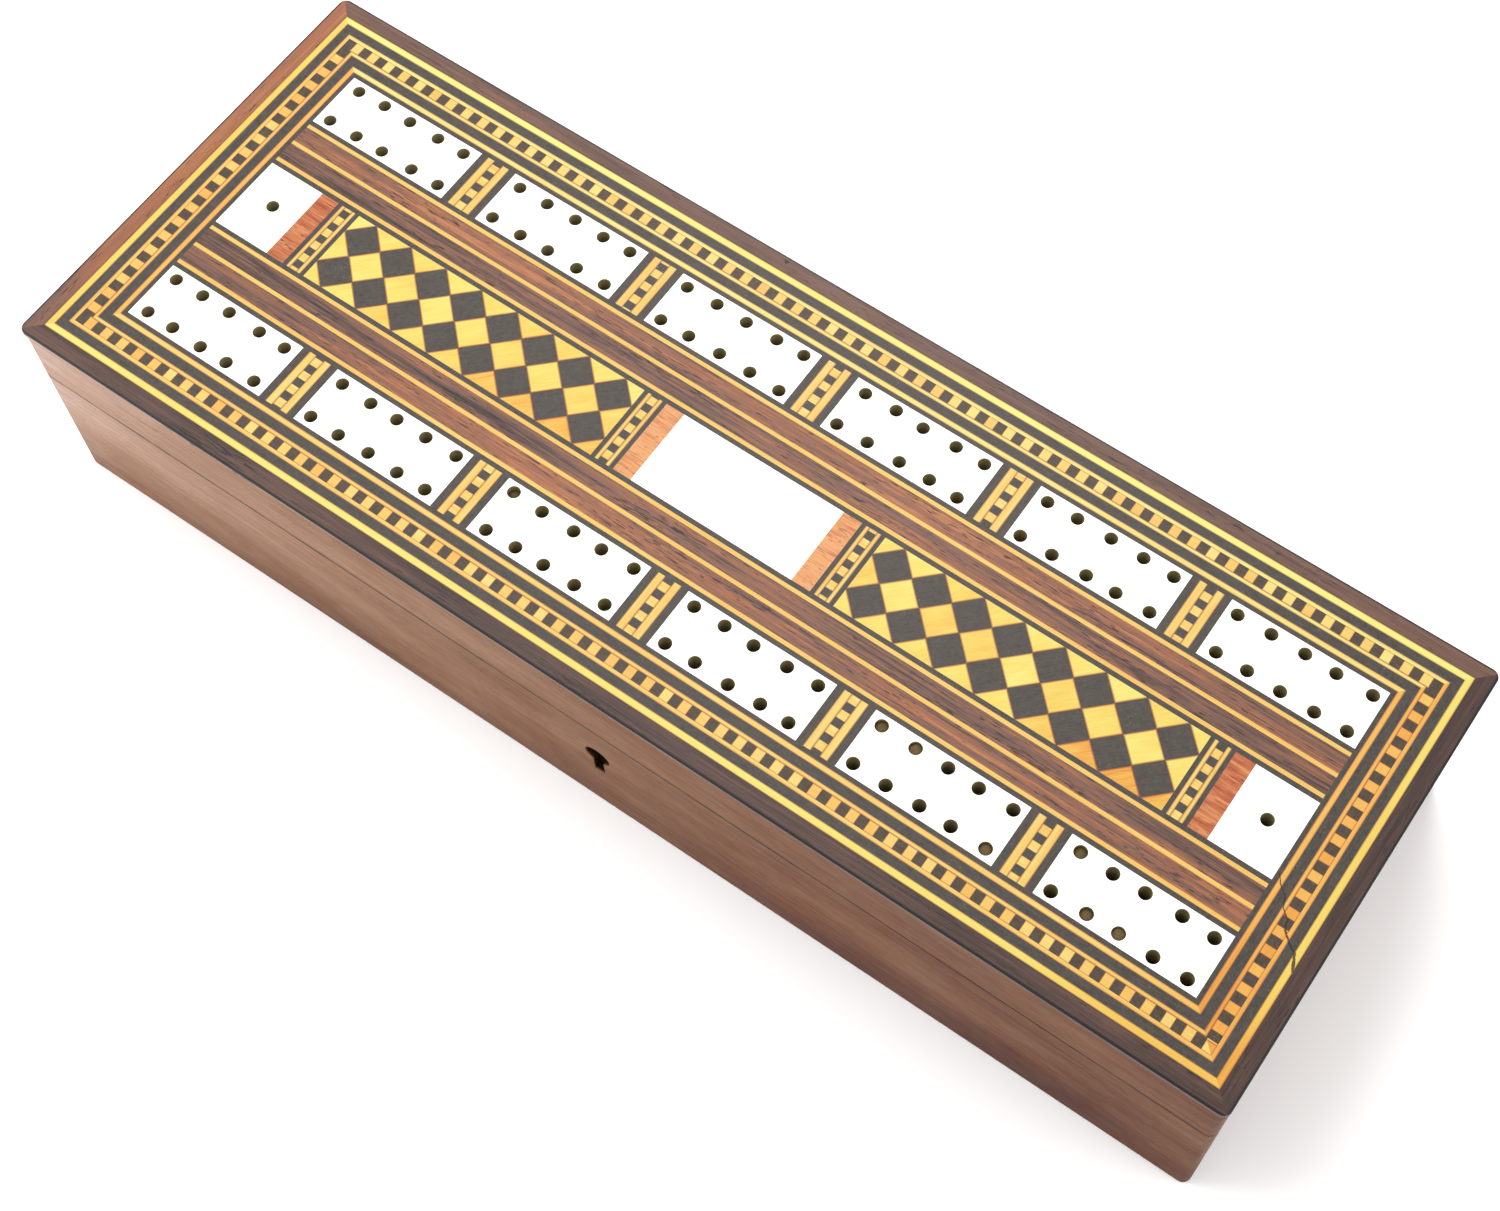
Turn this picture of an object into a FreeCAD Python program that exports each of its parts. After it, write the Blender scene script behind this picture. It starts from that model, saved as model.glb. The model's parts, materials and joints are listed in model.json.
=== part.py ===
import FreeCAD, Part
import os
import random

# Hinged cribbage box. The lid is the board: a marquetry top with bone peg plates.
# Frame: origin in the middle of the underside, +X to the right along the length,
# -Y to the front wall with the keyhole, +Y to the hinged back, +Z up.

doc = FreeCAD.newDocument("CribbageBox")
sheet = doc.addObject("Spreadsheet::Sheet", "Dimensions")

DIMENSIONS = {
    # outside of the box
    "box_length": 275.0,
    "box_width": 100.0,
    "base_height": 36.85,
    "joint_gap": 0.25,
    "lid_rail_height": 15.0,
    "inlay_thickness": 1.3,
    "edge_overhang": 0.3,
    "corner_radius": 1.8,
    "top_edge_radius": 0.35,
    "foot_edge_radius": 0.8,
    # carcass
    "wall_thickness": 5.0,
    "rabbet_depth": 2.0,
    "bottom_thickness": 4.0,
    "divider_thickness": 3.0,
    "divider_height": 30.0,
    "card_well_length": 66.0,
    "lid_board_thickness": 10.0,
    # border lines, each given by its own width, from the edge inward
    "rosewood_border": 3.7,
    "satinwood_line": 1.47,
    "ebony_outer_line": 1.9,
    "chequer_line": 0.82,
    "chequer_width": 2.4,
    "ebony_inner_line": 1.97,
    "boxwood_fillet": 1.15,
    "ebony_field_line": 0.97,
    # peg plates and bands, from the back border to the middle of the board
    "peg_plate_length": 33.55,
    "peg_plate_width": 13.35,
    "peg_plate_count": 6,
    "plate_ebony_line": 1.05,
    "band_boxwood_line": 0.85,
    "band_rosewood_width": 4.05,
    # middle row, from its left end to the centre plate
    "end_plate_length": 13.25,
    "tulipwood_length": 4.2,
    "ladder_ebony_line": 0.93,
    "ladder_boxwood_line": 0.83,
    "ladder_chequer": 1.8,
    "cross_square": 1.79,
    "centre_plate_length": 37.4,
    # separators between neighbouring peg plates
    "separator_strip": 1.65,
    # peg holes
    "hole_radius": 1.35,
    "hole_depth": 9.2,
    "hole_pitch": 6.98,
    "hole_row_spacing": 9.05,
    "hole_wander": 0.42,
    "game_hole_shift_x": 0.4,
    "game_hole_shift_y": 0.6,
    # hinges
    "hinge_offset": 1.55,
    "hinge_length": 20.0,
    "hinge_distance": 170.0,
    "knuckle_radius": 1.45,
    "knuckle_clearance": 0.35,
    "pin_radius": 0.7,
    "pin_clearance": 0.05,
    "leaf_thickness": 0.9,
    "stop_angle": 96.5,
    # lock
    "lock_centre": 1.4,
    "lock_plate_length": 42.0,
    "lock_plate_height": 25.0,
    "lock_plate_thickness": 1.0,
    "lock_case_length": 34.0,
    "lock_case_height": 20.0,
    "lock_case_depth": 3.2,
    "lock_case_wall": 0.6,
    "keyhole_height": 24.9,
    "keyhole_radius": 2.9,
    "keyhole_slot_width": 2.5,
    "keyhole_slot_length": 7.3,
    "key_pin_radius": 0.9,
    "bolt_thickness": 1.4,
    "hook_width": 4.0,
    "hook_length": 7.15,
    "nib_height": 2.2,
}
FIRST_ROW = 1
for row, (alias, value) in enumerate(DIMENSIONS.items(), start=FIRST_ROW):
    sheet.set(f"A{row}", alias.replace("_", " "))
    sheet.set(f"B{row}", str(value))
    sheet.setAlias(f"B{row}", alias)
doc.recompute()


def size(alias):
    """Value of one driving dimension, in mm."""
    return float(sheet.get(alias))


def bound(text):
    """Expression text in which every sheet alias is written as {alias}."""
    for alias in DIMENSIONS:
        text = text.replace("{" + alias + "}", f"Dimensions.{alias}")
    return text


def value_of(expression):
    """Number that an expression of sheet aliases stands for, in mm."""
    probe = doc.addObject("Part::Box", "probe")
    place(probe, x=expression)
    doc.recompute()
    number = probe.Placement.Base.x
    doc.removeObject(probe.Name)
    return number


def set_sizes(item, **expressions):
    for prop, text in expressions.items():
        item.setExpression(prop, bound(text))


def place(item, x="0", y="0", z="0"):
    item.setExpression("Placement.Base.x", bound(x))
    item.setExpression("Placement.Base.y", bound(y))
    item.setExpression("Placement.Base.z", bound(z))


def turn(item, axis, degrees):
    item.Placement.Rotation = FreeCAD.Rotation(FreeCAD.Vector(*axis), degrees)


def box(name, length, width, height, x, y, z):
    """A block whose lowest corner is at x, y, z. All arguments are expressions."""
    item = doc.addObject("Part::Box", name)
    set_sizes(item, Length=length, Width=width, Height=height)
    place(item, x, y, z)
    return item


def cylinder(name, radius, height, x, y, z, axis="z"):
    item = doc.addObject("Part::Cylinder", name)
    set_sizes(item, Radius=radius, Height=height)
    if axis == "x":
        turn(item, (0, 1, 0), 90)
    if axis == "y":
        turn(item, (1, 0, 0), -90)
    place(item, x, y, z)
    return item


def group(name, pieces):
    item = doc.addObject("Part::Compound", name)
    item.Links = pieces
    return item


def fuse(name, pieces):
    item = doc.addObject("Part::MultiFuse", name)
    item.Shapes = pieces
    return item


def cut(name, base, tool):
    item = doc.addObject("Part::Cut", name)
    item.Base = base
    item.Tool = tool
    return item


def common(name, base, tool):
    item = doc.addObject("Part::Common", name)
    item.Base = base
    item.Tool = tool
    return item


PARTS = []
CUT_MARGIN = 1


def part(label, item):
    """Names a finished sub-part. Its label is its file name."""
    item.Label = label
    PARTS.append(item)
    return item


# Heights and half sizes that many pieces share, as expressions.
HALF_LENGTH = "{box_length} / 2"
HALF_WIDTH = "{box_width} / 2"
LID_BOTTOM = "({base_height} + {joint_gap})"
INLAY_BOTTOM = "({base_height} + {joint_gap} + {lid_rail_height})"
LID_BOARD_BOTTOM = f"({INLAY_BOTTOM} - {{lid_board_thickness}})"
INLAY = "{inlay_thickness}"
SIDES = {"front": 0, "right": 90, "back": 180, "left": 270}


def mitred_strip(name, side, outer, inner, z, height):
    """One strip of a mitred frame; outer and inner are its distances from the board's edge."""
    along, across = HALF_LENGTH, HALF_WIDTH
    if side in ("left", "right"):
        along, across = HALF_WIDTH, HALF_LENGTH
    strip = doc.addObject("Part::Wedge", name)
    set_sizes(strip,
              Xmin=f"-({along} - ({outer}))", Xmax=f"{along} - ({outer})",
              X2min=f"-({along} - ({inner}))", X2max=f"{along} - ({inner})",
              Ymin=f"-({across} - ({outer}))", Ymax=f"-({across} - ({inner}))",
              Zmin="0", Zmax=height, Z2min="0", Z2max=height)
    turn(strip, (0, 0, 1), SIDES[side])
    place(strip, z=z)
    return strip


def mitred_frame(name, outer, inner, z, height):
    strips = [mitred_strip(f"{name}_{side}", side, outer, inner, z, height) for side in SIDES]
    return group(name, strips)


def rounded_blank(name, inset, z, height, top_radius=None, foot_radius=None):
    """The outline of the box as a block: rounded upright corners, eased top or foot edges."""
    block = box(f"{name}_block", f"{{box_length}} - 2 * {inset}", f"{{box_width}} - 2 * {inset}",
                height, f"-({HALF_LENGTH} - {inset})", f"-({HALF_WIDTH} - {inset})", z)
    doc.recompute()
    uprights = doc.addObject("Part::Fillet", f"{name}_uprights")
    uprights.Base = block
    corner = size("corner_radius")
    uprights.Edges = [(number, corner, corner) for number in upright_edges(block.Shape)]
    doc.recompute()
    blank = uprights
    for level, radius in (("ZMax", top_radius), ("ZMin", foot_radius)):
        if radius:
            eased = doc.addObject("Part::Fillet", f"{name}_{level}")
            eased.Base = blank
            eased.Edges = [(number, radius, radius) for number in level_edges(blank.Shape, level)]
            doc.recompute()
            blank = eased
    return blank


NEARLY_ZERO = 0.01


def upright_edges(shape):
    return [number for number, edge in enumerate(shape.Edges, start=1)
            if edge.BoundBox.XLength + edge.BoundBox.YLength < NEARLY_ZERO]


def level_edges(shape, level):
    height = getattr(shape.BoundBox, level)
    return [number for number, edge in enumerate(shape.Edges, start=1)
            if abs(edge.BoundBox.ZMin - height) < NEARLY_ZERO
            and abs(edge.BoundBox.ZMax - height) < NEARLY_ZERO]


# ---------------------------------------------------------------- screws

# head radius, head height, shank radius and shank length of each kind of screw
HINGE_SCREW = (0.75, 0.5, 0.42, 4.6)
LOCK_SCREW = (1.5, 0.8, 0.8, 3.6)
STRIKE_SCREW = (1.4, 0.8, 0.75, 4.6)
# width of the driving slot as a share of the head's radius, and its depth of the head's height
SLOT_WIDTH = 0.28
SLOT_DEPTH = 0.45
SCREW_TURNS = {"up": 0, "down": 180, "forward": 90}


def screw(name, sizes, x, y, z, direction):
    """A countersunk screw whose head lies flush at x, y, z and whose shank runs along
    direction: up, down or forward (-Y). Returns the screw and the solid it takes up."""
    head_radius, head_height, shank_radius, length = sizes
    head = doc.addObject("Part::Cone", f"{name}_head")
    head.Radius1 = head_radius
    head.Radius2 = shank_radius
    head.Height = head_height
    shank = doc.addObject("Part::Cylinder", f"{name}_shank")
    shank.Radius = shank_radius
    shank.Height = length
    slot = doc.addObject("Part::Box", f"{name}_slot")
    slot.Length = 2 * head_radius + CUT_MARGIN
    slot.Width = head_radius * SLOT_WIDTH
    slot.Height = head_height * SLOT_DEPTH
    slot_corner = FreeCAD.Vector(-slot.Length.Value / 2, -slot.Width.Value / 2, 0)
    rotation = FreeCAD.Rotation(FreeCAD.Vector(1, 0, 0), SCREW_TURNS[direction])
    place(head, x, y, z)
    doc.recompute()
    corner = head.Placement.Base
    head.Placement.Rotation = rotation
    shank.Placement = FreeCAD.Placement(corner, rotation)
    slot.Placement = FreeCAD.Placement(corner + rotation.multVec(slot_corner), rotation)
    body = fuse(f"{name}_body", [head, shank])
    return cut(name, body, slot), body


def bodies(screws):
    return [body for _, body in screws]


# ---------------------------------------------------------------- box walls

WALL_INSET = "{edge_overhang}"
WALL_INNER = "{edge_overhang} + {wall_thickness}"
base_blank = rounded_blank("base_blank", WALL_INSET, "0", "{base_height}",
                           foot_radius=size("foot_edge_radius"))
lid_blank = rounded_blank("lid_blank", WALL_INSET, LID_BOTTOM, "{lid_rail_height}")
inlay_blank = rounded_blank("inlay_blank", "0", INLAY_BOTTOM, INLAY,
                            top_radius=size("top_edge_radius"))


def inner_block(name, rabbet, z, height):
    """A block as wide as the inside of the walls and let into them by the rabbet."""
    reach = f"(2 * ({WALL_INNER} - {rabbet}))"
    return box(name, f"{{box_length}} - {reach}", f"{{box_width}} - {reach}", height,
               f"-({HALF_LENGTH} - {reach} / 2)", f"-({HALF_WIDTH} - {reach} / 2)", z)


bottom_board = part("bottom_board", inner_block("BottomBoard", "{rabbet_depth}", "0",
                                                "{bottom_thickness}"))

HINGE_Y = "({box_width} / 2 - {edge_overhang} - {hinge_offset})"
HINGE_Z = "({base_height} + {joint_gap} / 2)"


BEVEL_REACH = "4"


def stop_bevel(name, lower):
    """The wedge planed off along the hinged edge, so that the lid stops when it is open."""
    bevel = box(name, "{box_length}", BEVEL_REACH, BEVEL_REACH, f"-{HALF_LENGTH}", HINGE_Y,
                HINGE_Z)
    tilt = size("stop_angle") / 2
    if lower:
        turn(bevel, (1, 0, 0), -tilt)
    else:
        turn(bevel, (1, 0, 0), tilt - 90)
    return bevel


def hinge_x(side, offset):
    """Expression for a place along a hinge: side -1 or 1, offset from the hinge's middle."""
    return f"{side} * {{hinge_distance}} / 2 + {offset} * {{hinge_length}}"


LEAF_LEVELS = {"box": "{base_height} - {leaf_thickness}", "lid": LID_BOTTOM}
KNUCKLES = {"box": (-1 / 2, 1 / 6), "lid": (-1 / 6,)}
LEAF_SCREWS = {"box": ("{base_height}", "down"), "lid": (LID_BOTTOM, "up")}
LEAF_SCREW_PLACES = (-0.3, 0.3)
LEAF_SCREW_INSET = 0.85
KNUCKLE_GAP = 0.1
HINGE_SIDES = (-1, 1)


def leaf_block(name, side, level):
    """The flat of a leaf, from the inside of the wall to the hinge line."""
    return box(name, "{hinge_length}", f"{HINGE_Y} - ({HALF_WIDTH} - ({WALL_INNER}))",
               "{leaf_thickness}", hinge_x(side, -1 / 2), f"{HALF_WIDTH} - ({WALL_INNER})",
               LEAF_LEVELS[level])


def knuckle_groove(name, side):
    return cylinder(name, "{knuckle_radius} + {knuckle_clearance}", "{hinge_length}",
                    hinge_x(side, -1 / 2), HINGE_Y, HINGE_Z, axis="x")


def hinge_screws(level):
    """Two screws in each of the two leaves of one level."""
    made = []
    face, direction = LEAF_SCREWS[level]
    y = f"{HALF_WIDTH} - ({WALL_INNER}) + {LEAF_SCREW_INSET}"
    for side in HINGE_SIDES:
        for place_along in LEAF_SCREW_PLACES:
            made.append(screw(f"{level}_hinge_screw_{len(made)}", HINGE_SCREW,
                              hinge_x(side, place_along), y, face, direction))
    return made


def hinge_leaf(level, side, screws):
    """A leaf with its knuckles. Knuckles are thirds of the hinge: box, lid, box."""
    name = f"{level}_leaf_{side + 1}"
    flat = leaf_block(f"{name}_flat", side, level)
    knuckle_length = "{hinge_length} / 3"
    own, other = [], []
    for start in KNUCKLES[level]:
        own.append(cylinder(f"{name}_knuckle_{len(own)}", "{knuckle_radius}", knuckle_length,
                            hinge_x(side, start), HINGE_Y, HINGE_Z, axis="x"))
    for start in KNUCKLES["lid" if level == "box" else "box"]:
        other.append(cylinder(f"{name}_room_{len(other)}",
                              "{knuckle_radius} + {knuckle_clearance}",
                              f"{knuckle_length} + 2 * {KNUCKLE_GAP}",
                              f"{hinge_x(side, start)} - {KNUCKLE_GAP}", HINGE_Y, HINGE_Z,
                              axis="x"))
    bore_radius = {"box": "{pin_radius}", "lid": "{pin_radius} + {pin_clearance}"}[level]
    bore = cylinder(f"{name}_bore", bore_radius, "{hinge_length}", hinge_x(side, -1 / 2),
                    HINGE_Y, HINGE_Z, axis="x")
    leaf = cut(f"{name}_open", fuse(f"{name}_solid", [flat] + own), group(f"{name}_rooms", other))
    leaf = cut(f"{name}_bored", leaf, bore)
    return cut(f"{name}_drilled", leaf, group(f"{name}_screw_room", bodies(screws)))


def hinge_recess(level, name):
    """What a wall or rail loses to the two hinges: leaf beds and knuckle grooves."""
    rooms = []
    for side in HINGE_SIDES:
        rooms.append(leaf_block(f"{name}_bed_{side + 1}", side, level))
        rooms.append(knuckle_groove(f"{name}_groove_{side + 1}", side))
    return rooms


box_hinge_screws = hinge_screws("box")
lid_hinge_screws = hinge_screws("lid")

# ---------------------------------------------------------------- lock sizes

LOCK_X = "{lock_centre}"
WALL_FRONT = f"-({HALF_WIDTH} - {{edge_overhang}})"
WALL_BACK = f"(-({HALF_WIDTH} - ({WALL_INNER})))"
CASE_FRONT = f"({WALL_BACK} - {{lock_case_depth}})"
CASE_TOP = "({base_height} - {lock_plate_thickness})"
PLATE_BACK = f"({WALL_BACK} + {{lock_plate_thickness}})"


def lock_box(name, half_length, depth, height, y, z):
    """A block centred on the lock."""
    return box(name, f"2 * ({half_length})", depth, height, f"{LOCK_X} - ({half_length})", y, z)


def keyhole(name, y, depth):
    """The key's outline: a round hole and a slot below it."""
    eye = cylinder(f"{name}_eye", "{keyhole_radius}", depth, LOCK_X, y, "{keyhole_height}",
                   axis="y")
    slot = lock_box(f"{name}_slot", "{keyhole_slot_width} / 2", depth, "{keyhole_slot_length}",
                    y, "{keyhole_height} - {keyhole_slot_length}")
    return fuse(name, [eye, slot])


LOCK_SCREW_REACH = 18.5
LOCK_SCREW_HEIGHTS = (15.5, 32.0)
STRIKE_SCREW_REACH = 16
STRIKE_SCREW_INSET = 2


def lock_screws():
    made = []
    for side in (-1, 1):
        for height in LOCK_SCREW_HEIGHTS:
            made.append(screw(f"lock_screw_{len(made)}", LOCK_SCREW,
                              f"{LOCK_X} + {side * LOCK_SCREW_REACH}", PLATE_BACK, f"{height}",
                              "forward"))
    return made


def strike_screws():
    return [screw(f"strike_screw_{number}", STRIKE_SCREW,
                  f"{LOCK_X} + {side * STRIKE_SCREW_REACH}",
                  f"{WALL_BACK} - {STRIKE_SCREW_INSET}", LID_BOTTOM, "up")
            for number, side in enumerate((-1, 1))]


SELVEDGE_LIP = 0.6
SELVEDGE_FRONT = f"({WALL_BACK} - {{lock_case_depth}} - {SELVEDGE_LIP})"
lock_screw_set = lock_screws()
strike_screw_set = strike_screws()

# ---------------------------------------------------------------- base


def base_wall(side, extra):
    strip = mitred_strip(f"base_{side}_strip", side, "0", WALL_INNER, "0", "{base_height}")
    wall = common(f"base_{side}_outline", strip, base_blank)
    return part(f"base_{side}_wall",
                cut(f"base_{side}", wall, group(f"base_{side}_rooms", [bottom_board] + extra)))


front_rooms = [
    lock_box("case_mortise", "{lock_case_length} / 2", "{lock_case_depth}",
             f"{{lock_case_height}} + {{lock_plate_thickness}}", CASE_FRONT,
             f"{CASE_TOP} - {{lock_case_height}}"),
    lock_box("selvedge_bed", "{lock_plate_length} / 2", f"{WALL_BACK} - {SELVEDGE_FRONT}",
             "{lock_plate_thickness}", SELVEDGE_FRONT, CASE_TOP),
    keyhole("wall_keyhole", f"{WALL_FRONT} - {CUT_MARGIN}", "{wall_thickness}"),
]
base_bevel = stop_bevel("base_bevel", True)
base_wall("front", front_rooms + bodies(lock_screw_set))
base_wall("right", [base_bevel])
base_wall("back", hinge_recess("box", "back_wall") + [base_bevel] + bodies(box_hinge_screws))
base_wall("left", [base_bevel])

INSIDE_HALF_WIDTH = f"({HALF_WIDTH} - ({WALL_INNER}))"
INSIDE_HALF_LENGTH = f"({HALF_LENGTH} - ({WALL_INNER}))"
DIVIDER_X = f"({INSIDE_HALF_LENGTH} - {{card_well_length}} - {{divider_thickness}})"
part("left_divider", box("LeftDivider", "{divider_thickness}", f"2 * {INSIDE_HALF_WIDTH}",
                         "{divider_height}", f"-{DIVIDER_X} - {{divider_thickness}}",
                         f"-{INSIDE_HALF_WIDTH}", "{bottom_thickness}"))
part("right_divider", box("RightDivider", "{divider_thickness}", f"2 * {INSIDE_HALF_WIDTH}",
                          "{divider_height}", DIVIDER_X, f"-{INSIDE_HALF_WIDTH}",
                          "{bottom_thickness}"))

# ---------------------------------------------------------------- lid carcass

lid_board_blank = inner_block("lid_board_blank", "{rabbet_depth}", LID_BOARD_BOTTOM,
                              "{lid_board_thickness}")


def lid_rail(side, extra):
    strip = mitred_strip(f"lid_{side}_strip", side, "0", WALL_INNER, LID_BOTTOM,
                         "{lid_rail_height}")
    rail = common(f"lid_{side}_outline", strip, lid_blank)
    return part(f"lid_{side}_rail",
                cut(f"lid_{side}", rail, group(f"lid_{side}_rooms", [lid_board_blank] + extra)))


strike_bed = lock_box("strike_bed", "{lock_plate_length} / 2", f"{WALL_BACK} - {SELVEDGE_FRONT}",
                      "{lock_plate_thickness}", SELVEDGE_FRONT, LID_BOTTOM)
lid_bevel = stop_bevel("lid_bevel", False)
lid_rail("front", [strike_bed] + bodies(strike_screw_set))
lid_rail("right", [lid_bevel])
lid_rail("back", hinge_recess("lid", "back_rail") + [lid_bevel] + bodies(lid_hinge_screws))
lid_rail("left", [lid_bevel])

# ---------------------------------------------------------------- peg holes

FIELD_INSET = ("({rosewood_border} + {satinwood_line} + {ebony_outer_line} + 2 * {chequer_line}"
               " + {chequer_width} + {ebony_inner_line} + {boxwood_fillet} + {ebony_field_line})")
FIELD_LEFT = f"(-({HALF_LENGTH} - {FIELD_INSET}))"
PLATE_PITCH = (f"((2 * ({HALF_LENGTH} - {FIELD_INSET}) - {{peg_plate_length}})"
               " / ({peg_plate_count} - 1))")
PLATE_ROW_Y = f"({HALF_WIDTH} - {FIELD_INSET} - {{peg_plate_width}} / 2)"
ROW_SIDES = {"back": 1, "front": -1}
HOLES_PER_ROW = 5
PLATES = range(int(size("peg_plate_count")))
CROSS_WANDER = 0.4
wander = random.Random(29)


def drill(name, x, y):
    """A drill that stops hole_depth below the top of the board."""
    top = f"({INLAY_BOTTOM} + {{inlay_thickness}})"
    return cylinder(name, "{hole_radius}", f"{{hole_depth}} + {CUT_MARGIN}", x, y,
                    f"{top} - {{hole_depth}}")


def plate_drills(row, number):
    """Ten holes set out by hand, so each strays a little from its place."""
    drills = []
    for column in range(HOLES_PER_ROW):
        for line in (-1, 1):
            stray_x = wander.uniform(-1, 1)
            stray_y = wander.uniform(-CROSS_WANDER, CROSS_WANDER)
            x = (f"{FIELD_LEFT} + {number} * {PLATE_PITCH} + {{peg_plate_length}} / 2"
                 f" + {column - 2} * {{hole_pitch}} + {stray_x:.2f} * {{hole_wander}}")
            y = (f"{ROW_SIDES[row]} * {PLATE_ROW_Y} + {line} * {{hole_row_spacing}} / 2"
                 f" + {stray_y:.2f} * {{hole_wander}}")
            drills.append(drill(f"drill_{row}_{number}_{len(drills)}", x, y))
    return group(f"drills_{row}_{number}", drills)


def inlay_box(name, length, width, x, y):
    """A flat piece of the marquetry; x and y are its lowest corner."""
    return box(name, length, width, INLAY, x, y, INLAY_BOTTOM)


ROW_HALF = (f"({HALF_WIDTH} - {FIELD_INSET} - {{peg_plate_width}} - 2 * {{plate_ebony_line}}"
            " - 3 * {band_boxwood_line} - 2 * {band_rosewood_width})")
GAME_HOLE_X = f"({HALF_LENGTH} - {FIELD_INSET} - {{end_plate_length}} / 2)"
all_drills = []
for row, row_side in ROW_SIDES.items():
    for number in PLATES:
        drills = plate_drills(row, number)
        all_drills.append(drills)
        plate = inlay_box(f"plate_{row}_{number}", "{peg_plate_length}", "{peg_plate_width}",
                          f"{FIELD_LEFT} + {number} * {PLATE_PITCH}",
                          f"{row_side} * {PLATE_ROW_Y} - {{peg_plate_width}} / 2")
        part(f"peg_plate_{row}_{number + 1}", cut(f"peg_plate_{row}_{number}", plate, drills))

for side_name, side in (("left", -1), ("right", 1)):
    game_drill = drill(f"drill_{side_name}_game",
                       f"{side} * {GAME_HOLE_X} + {{game_hole_shift_x}}", "{game_hole_shift_y}")
    all_drills.append(game_drill)
    corner = f"-({HALF_LENGTH} - {FIELD_INSET})"
    if side > 0:
        corner = f"{HALF_LENGTH} - {FIELD_INSET} - {{end_plate_length}}"
    plate = inlay_box(f"end_blank_{side_name}", "{end_plate_length}", f"2 * {ROW_HALF}",
                      corner, f"-{ROW_HALF}")
    part(f"end_plate_{side_name}", cut(f"end_{side_name}", plate, game_drill))

part("lid_board", cut("LidBoard", lid_board_blank, group("all_drills", all_drills)))
part("centre_plate", inlay_box("CentrePlate", "{centre_plate_length}", f"2 * {ROW_HALF}",
                               "-{centre_plate_length} / 2", f"-{ROW_HALF}"))

# ---------------------------------------------------------------- border lines

part("rosewood_border", group("RosewoodBorder", [
    common(f"border_{side}", mitred_strip(f"border_{side}_strip", side, "0",
                                          "{rosewood_border}", INLAY_BOTTOM, INLAY), inlay_blank)
    for side in SIDES]))

inset = "{rosewood_border}"
for label, width in (("satinwood_line", "{satinwood_line}"),
                     ("ebony_outer_line", "{ebony_outer_line}"),
                     ("boxwood_outer_line", "{chequer_line}"),
                     (None, "{chequer_width}"),
                     ("boxwood_inner_line", "{chequer_line}"),
                     ("ebony_inner_line", "{ebony_inner_line}"),
                     ("boxwood_fillet", "{boxwood_fillet}"),
                     ("ebony_field_line", "{ebony_field_line}")):
    next_inset = f"{inset} + {width}"
    if label:
        part(label, mitred_frame(f"{label}_frame", inset, next_inset, INLAY_BOTTOM, INLAY))
    else:
        chequer_inset = inset
    inset = next_inset

# ---------------------------------------------------------------- chequers

EBONY, BOXWOOD = "ebony", "boxwood"
CHEQUER = "{chequer_width}"
border_chequers = {EBONY: [], BOXWOOD: []}
cross_chequers = {EBONY: [], BOXWOOD: []}


def chequer_run(name, corner, length, along, count, first):
    """Alternating squares: count of them along x or y from the run's lowest corner."""
    woods = (EBONY, BOXWOOD) if first == EBONY else (BOXWOOD, EBONY)
    x, y = corner
    cell = f"(({length}) / {count})"
    for index in range(count):
        if along == "x":
            piece = inlay_box(f"{name}_{index}", cell, CHEQUER, f"{x} + {index} * {cell}", y)
        else:
            piece = inlay_box(f"{name}_{index}", CHEQUER, cell, x, f"{y} + {index} * {cell}")
        border_chequers[woods[index % 2]].append(piece)


# squares in the long runs; the short runs have a shorter ebony piece at each end
LONG_COUNTS = {"front": 126, "back": 125}
SHORT_COUNT = 37
SHORT_ENDS = {"left": (1.0, 2.25), "right": (1.7, 1.35)}
long_length = f"{{box_length}} - 2 * ({chequer_inset})"
short_length = f"{{box_width}} - 2 * ({chequer_inset}) - 2 * {{chequer_width}}"
left_edge = f"-({HALF_LENGTH} - ({chequer_inset}))"
right_edge = f"{HALF_LENGTH} - ({chequer_inset}) - {{chequer_width}}"
front_edge = f"-({HALF_WIDTH} - ({chequer_inset}))"
back_edge = f"{HALF_WIDTH} - ({chequer_inset}) - {{chequer_width}}"
short_start = f"-({HALF_WIDTH} - ({chequer_inset}) - {{chequer_width}})"
for name, edge in (("front", front_edge), ("back", back_edge)):
    chequer_run(f"{name}_chequer", (left_edge, edge), long_length, "x", LONG_COUNTS[name],
                EBONY)
for name, edge in (("left", left_edge), ("right", right_edge)):
    low, high = SHORT_ENDS[name]
    chequer_run(f"{name}_chequer", (edge, f"{short_start} + {low}"),
                f"{short_length} - {low} - {high}", "y", SHORT_COUNT, BOXWOOD)
    for end, length, y in (("low", low, short_start), ("high", high, f"-({short_start}) - {high}")):
        border_chequers[EBONY].append(
            inlay_box(f"{name}_chequer_{end}", CHEQUER, f"{length}", edge, y))


def cut_strip(name, x, y, width, reach, first, lead):
    """Squares along y, cut from a longer strip: the first is lead long and the last is what
    is left, so both are short. reach is the strip's length in mm."""
    woods = (EBONY, BOXWOOD) if first == EBONY else (BOXWOOD, EBONY)
    square = size("cross_square")
    whole = int((reach - lead) / square)
    lengths = [lead] + [square] * whole + [reach - lead - whole * square]
    start = 0
    for index, length in enumerate(lengths):
        cross_chequers[woods[index % 2]].append(
            inlay_box(f"{name}_{index}", width, f"{length}", x, f"{y} + {start}"))
        start += length


# ---------------------------------------------------------------- separators

separator_ebony, separator_boxwood = [], []
SEPARATOR = f"({PLATE_PITCH} - {{peg_plate_length}})"
SEPARATOR_CHEQUER = f"({SEPARATOR} - 4 * {{separator_strip}})"
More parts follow.
